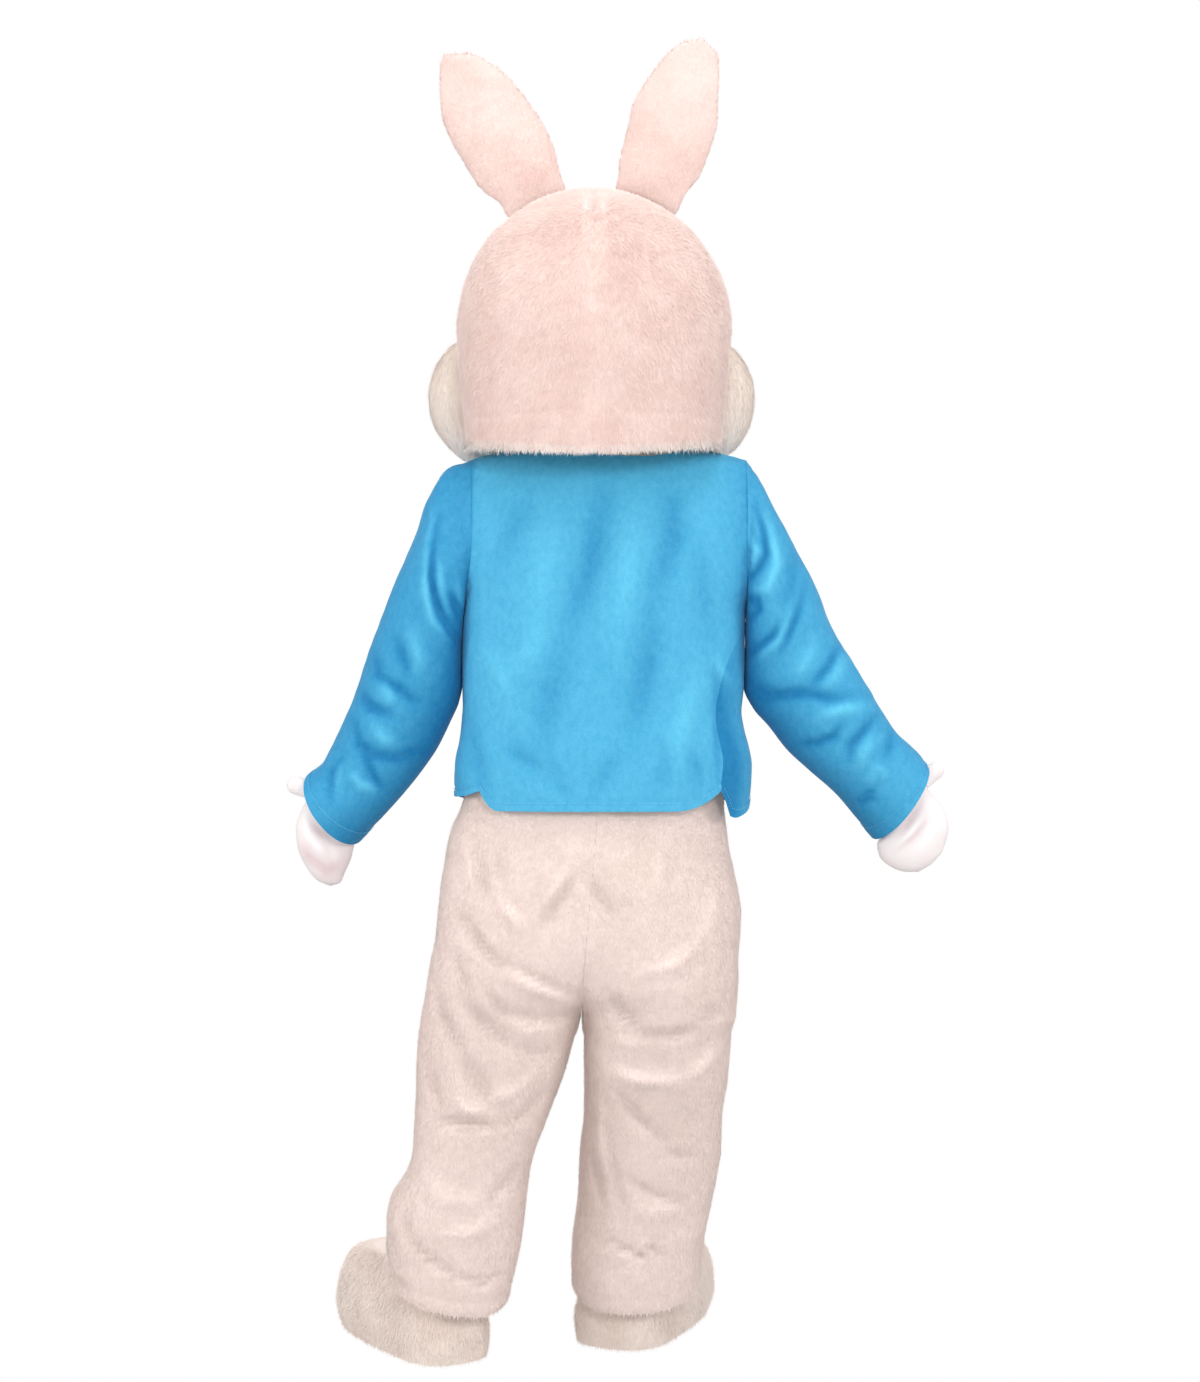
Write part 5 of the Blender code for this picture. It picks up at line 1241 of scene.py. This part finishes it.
# mittens: a back, a palm and a thumb each
gloveColumns = "share* outerX outerH innerX innerH middle depth"
gloveTables = {
    "left": readTable(gloveColumns, (
        (0, 430, 925, 350, 868, -30, 26), (0.2, 452, 893, 364, 842, -31, 28), (0.38, 472, 863, 381, 825, -33, 30),
        (0.55, 481, 832, 388, 805, -35, 30), (0.7, 478, 802, 393, 785, -37, 28),
        (0.85, 464, 770, 403, 763, -39, 22), (0.95, 446, 749, 411, 746, -40, 12), (1, 427, 741, 427, 741, -40, 0),
    )),
    "right": readTable(gloveColumns, (
        (0, 486, 945, 412, 880, -30, 26), (0.2, 505, 918, 436, 848, -32, 28), (0.38, 521, 893, 444, 826, -35, 30),
        (0.55, 543, 865, 438, 806, -38, 30), (0.7, 552, 834, 442, 788, -41, 28),
        (0.85, 545, 801, 460, 771, -44, 22), (0.95, 527, 777, 486, 763, -45, 12), (1, 505, 763, 505, 763, -45, 0),
    )),
}
gloveFolds = {
    "left": readFolds(1.0, (
        (465, 862, 459.6, 824.5, 442, 804.5, 430, 795, 7, 4.2),
        (469.6, 804.5, 455, 785, 430, 767, 412.5, 777, 7.5, -5), (450, 839, 435, 827, 417.5, 824.5, 6, -3.6),
        (420, 810, 415, 795, 418, 780, 7, 2.2),
    )),
    "right": readFolds(1.0, (
        (509, 889, 498, 865, 482.5, 841, 469.6, 822.5, 6.5, -4.6), (514, 849, 495.6, 825, 464, 796, 4.5, -4),
        (504, 849, 485, 825, 467, 807, 5, 3.4), (530, 850, 515, 820, 495, 795, 9, 2.6),
    )),
}
gloves = {
    "wall": 0.0025, "thumbGap": 0.0008, "thumbInset": 0.0003, "shadedFoldDepth": 0.0042,
    # painted light and shade per side: the left mitten darker, the right lighter
    "paintedSideLight": {"left": -0.25, "right": 0.15},
}
thumbs = {
    "left": {"row": 0.21, "off": -0.005, "tip": (0.4950, -0.046, 0.9060), "radius": 0.0153},
    "right": {"row": 0.27, "off": -0.007, "tip": (0.5420, -0.055, 0.9320), "radius": 0.0145},
}


def glovePoint(side, facing, s, t):
    row, angle = gloveTables[side].at(t), math.pi * s
    middle, half = ringMiddle(row)
    point = middle + half * math.cos(angle)
    out = foldRise(gloveFolds[side], point.x, point.z) * abs(math.sin(angle)) * (1 - t)
    y = row.middle + facing * (row.depth * powered(math.sin(angle), 0.8) + out)
    return Vector((point.x * sides[side], y, point.z))


def gloveDip(s, t, point):
    return -0.0010 * bump(min(s, 1 - s), 0.030) - 0.0004 + uneven("mitten", point) * (1 - t)


def thumbDip(s, t, point):
    return uneven("thumb", point) - gloves["thumbInset"]


def glovePaintedShade(side, s, t, point):
    # painted shade in the fold troughs, painted highlight on the ridges, and the left mitten painted darker and the
    # right lighter, as the light falls more on the right
    fold = foldRise(gloveFolds[side], abs(point.x), point.z) / gloves["shadedFoldDepth"]
    return fold + gloves["paintedSideLight"][side]


def mittenEdge(side, share, y):
    # the place on the mitten's thumb side at a given depth
    row = gloveTables[side].at(share)
    middle = Vector(((row.outerX + row.innerX) / 2, 0, (row.outerH + row.innerH) / 2))
    half = Vector((row.outerX, 0, row.outerH)) - middle
    sine = min(1.0, abs((y - row.middle) / row.depth) ** 1.25)
    point = middle + half * (math.sqrt(1 - sine * sine) + gloves["thumbGap"] / half.length)
    return Vector((point.x, y, point.z))


def makeThumb(side, turn):
    size = thumbs[side]
    thick, level = size["radius"], size["row"]
    middleY = gloveTables[side].at(level).middle + size["off"]
    root = mittenEdge(side, level, middleY)
    axis = Vector(size["tip"]) - root
    heading = axis.normalized()
    straight = axis.length - thick
    ahead = mittenEdge(side, level + 0.1, middleY) - mittenEdge(side, level - 0.1, middleY)
    shareStep = 0.2 / ahead.length
    down = (ahead - heading * ahead.dot(heading)).normalized()
    across = heading.cross(down)

    def finger(s, t):
        # straight for the first part, then rounded at the tip; its foot lands on the mitten's edge
        rounding = quarter * max(0.0, (t - 0.4) / 0.6)
        reach = straight * min(1.0, t / 0.4) + thick * math.sin(rounding)
        angle = circle * s
        spread = (down * math.cos(angle) + across * math.sin(angle)) * thick
        point = root + heading * reach + spread * math.cos(rounding)
        foot = root + spread
        landing = mittenEdge(side, level + (foot - root).dot(down) * shareStep, foot.y)
        point += (landing - foot) * (1 - eased(t / 0.6))
        return Vector((point.x * turn, point.y, point.z))

    name = "glove_" + side + "_thumb"
    thumb = growPanel(name, finger, 40, 30, (0.09, 0.06), None, thumbDip)
    makeUp(thumb, name, "glove_cloth", "knit", wall=gloves["wall"])


def makeGloves():
    for side, turn in sides.items():
        for part, facing in (("back", 1), ("palm", -1)):
            name = "glove_" + side + "_" + part
            panel = growPanel(name, partial(glovePoint, side, facing), 44, 48, (0.14, 0.19),
                              Vector((0, facing, 0)), gloveDip, None, partial(glovePaintedShade, side))
            makeUp(panel, name, "glove_cloth", "knit", wall=gloves["wall"])
        makeThumb(side, turn)


makeGloves()
print("mittens made")


# shoes: a soft upper and a felt sole each; angle 0 is the toe, profile 0 the floor and 1 the ankle
shoes = {
    "left": {"heel": (0.2045, 0.026), "toeOut": math.radians(36), "halfWidth": 0.077},
    "right": {"heel": (-0.005, -0.057), "toeOut": math.radians(25.5), "halfWidth": 0.084},
    "heelLength": 0.082, "toeLength": 0.290, "height": 0.158, "heelHeight": 0.098, "opening": 0.044,
    "boxiness": 0.80, "flare": 0.02, "wall": 0.008, "sole": 0.012, "inset": 0.0045, "lowest": 0.003,
    "rimShare": 0.42, "tuck": 0.07, "tuckHeight": 0.045, "longer": 0.006,
}
shoeFur = {
    "density": 250000, "length": 0.0100, "width": 0.0019, "lift": 0.36, "tangle": 0.26, "locks": 0.5,
    "calm": 2.6, "seed": 101, "lockScale": 38.0,
}


def shoePlan(side, angle, profile):
    forward, wide = math.cos(angle), shoes[side]["halfWidth"]
    along = (shoes["toeLength"] if forward > 0 else shoes["heelLength"]) * powered(forward, shoes["boxiness"])
    across = wide * (1 + shoes["flare"] * forward) * powered(math.sin(angle), shoes["boxiness"])
    rise = quarter * profile
    toe = max(0.0, forward)
    plan = math.cos(rise) ** mixed(0.80, 0.46, toe) if rise < quarter else 0.0
    height = mixed(shoes["heelHeight"], shoes["height"], eased(toe + 0.30)) * math.sin(rise) ** 0.80
    tuck = 1 - shoes["tuck"] * max(0.0, 1 - height / shoes["tuckHeight"]) ** 2     # drawn in towards the sole
    along = mixed((shoes["opening"] + shoes["longer"]) * forward, along, plan)
    across = mixed(shoes["opening"] * math.sin(angle), across, plan)
    return along * tuck, across * tuck, height


def shoePlace(side, along, across, height):
    size, turn = shoes[side], sides[side]
    out = size["toeOut"]
    forward = Vector((math.sin(out) * turn, -math.cos(out), 0))
    sideways = Vector((math.cos(out) * turn, math.sin(out), 0))
    ankle = Vector((*size["heel"], 0)) + forward * shoes["heelLength"]
    return ankle + forward * along + sideways * across + Vector((0, 0, height))


def upperPoint(side, s, t):
    return shoePlace(side, *shoePlan(side, circle * s, mixed(shoes["lowest"], 0.97, t)))


def upperDip(s, t, point):
    return -shoes["inset"] + uneven("shoe", point) * eased(t / 0.1)


def upperPile(s, t, point):
    return 1.0 - eased((t - 0.80) / 0.1), 0.70 + 0.3 * eased(t / 0.15)


def solePoint(side, s, t):
    # up the rim and in over the floor and the top, so it closes at its two middles
    along, across, _ = shoePlan(side, circle * s, shoes["lowest"])
    inside = shoes["wall"] * 1.1
    along *= 1 - inside / (shoes["toeLength"] if along > 0 else shoes["heelLength"])
    across *= 1 - inside / shoes[side]["halfWidth"]
    rim = shoes["rimShare"]
    level = min(1.0, max(0.0, (t - rim) / 0.16))
    spread = min(1.0, t / rim, (1 - t) / rim)
    bulge = 1.0 - 0.012 * (2 * level - 1) ** 2
    return shoePlace(side, along * spread * bulge, across * spread * bulge, level * shoes["sole"])


def makeShoes():
    for side in sides:
        name = "shoe_" + side + "_upper"
        panel = growPanel(name, partial(upperPoint, side), 84, 36, (0.80, 0.20), None, upperDip, upperPile)
        above = tuple(shoePlace(side, 0, 0, 0.60))
        fur = growFur("fur_" + name, panel, {**shoeFur, "combFrom": above}, "shoeStrand", "white_plush")
        makeUp(panel, name, "white_plush", "shoe", wall=shoes["wall"] - shoes["inset"])
        name = "shoe_" + side + "_sole"
        makeUp(growPanel(name, partial(solePoint, side), 84, 30, (0.34, 0.20)), name, "sole_cloth", "sole")


makeShoes()
print("shoes made")


# light and camera
for name, place, aim, size, power in (
    ("keyLamp", (-1.1, 4.2, 0.9), (0, 0, -0.3), 1.0, 50),
    ("nearFill", (1.6, 4.0, 0.1), (0, 0, -0.5), 1.6, 22),
    ("lowFill", (0.4, 3.6, -1.0), (0, 0, -1.1), 1.4, 16),
    ("topLamp", (0.0, 0.5, 3.0), (0, 0, 0), 2.0, 42),
    ("leftSide", (3.6, 1.4, 0.3), (0, 0, -0.2), 1.6, 44),
    ("rightSide", (-3.6, 1.4, 0.3), (0, 0, -0.2), 1.6, 44),
    ("farKey", (1.1, -4.4, 1.1), (0, 0, -0.3), 1.2, 75),
    ("farFill", (-1.6, -4.2, 0.0), (0, 0, -0.5), 1.8, 30),
):
    light = bpy.data.lights.new(name, "AREA")
    light.shape, light.size, light.energy = "DISK", size, power
    lamp = addThing(name, light)
    lamp.location = place
    lamp.rotation_euler = (Vector(aim) - Vector(place)).to_track_quat("-Z", "Y").to_euler()

scene = bpy.context.scene
world = bpy.data.worlds.new("whiteRoom")
world.use_nodes = True
room = world.node_tree
seen = addRange(room, addNode(room, "ShaderNodeLightPath", {}, "Is Camera Ray"), 0.58, 1.0)
plug(room, room.nodes["Background"], {"Strength": seen, "Color": (1, 1, 1, 1)})
scene.world = world
cameraData = bpy.data.cameras.new("camera")
cameraData.lens, cameraData.sensor_width = 63.2, 36
camera = addThing("camera", cameraData)
camera.location = (0, 3.8, 1.05 - holdHeight)
camera.rotation_euler = (quarter, 0, math.pi)
scene.camera = camera
scene.view_settings.view_transform = "Standard"
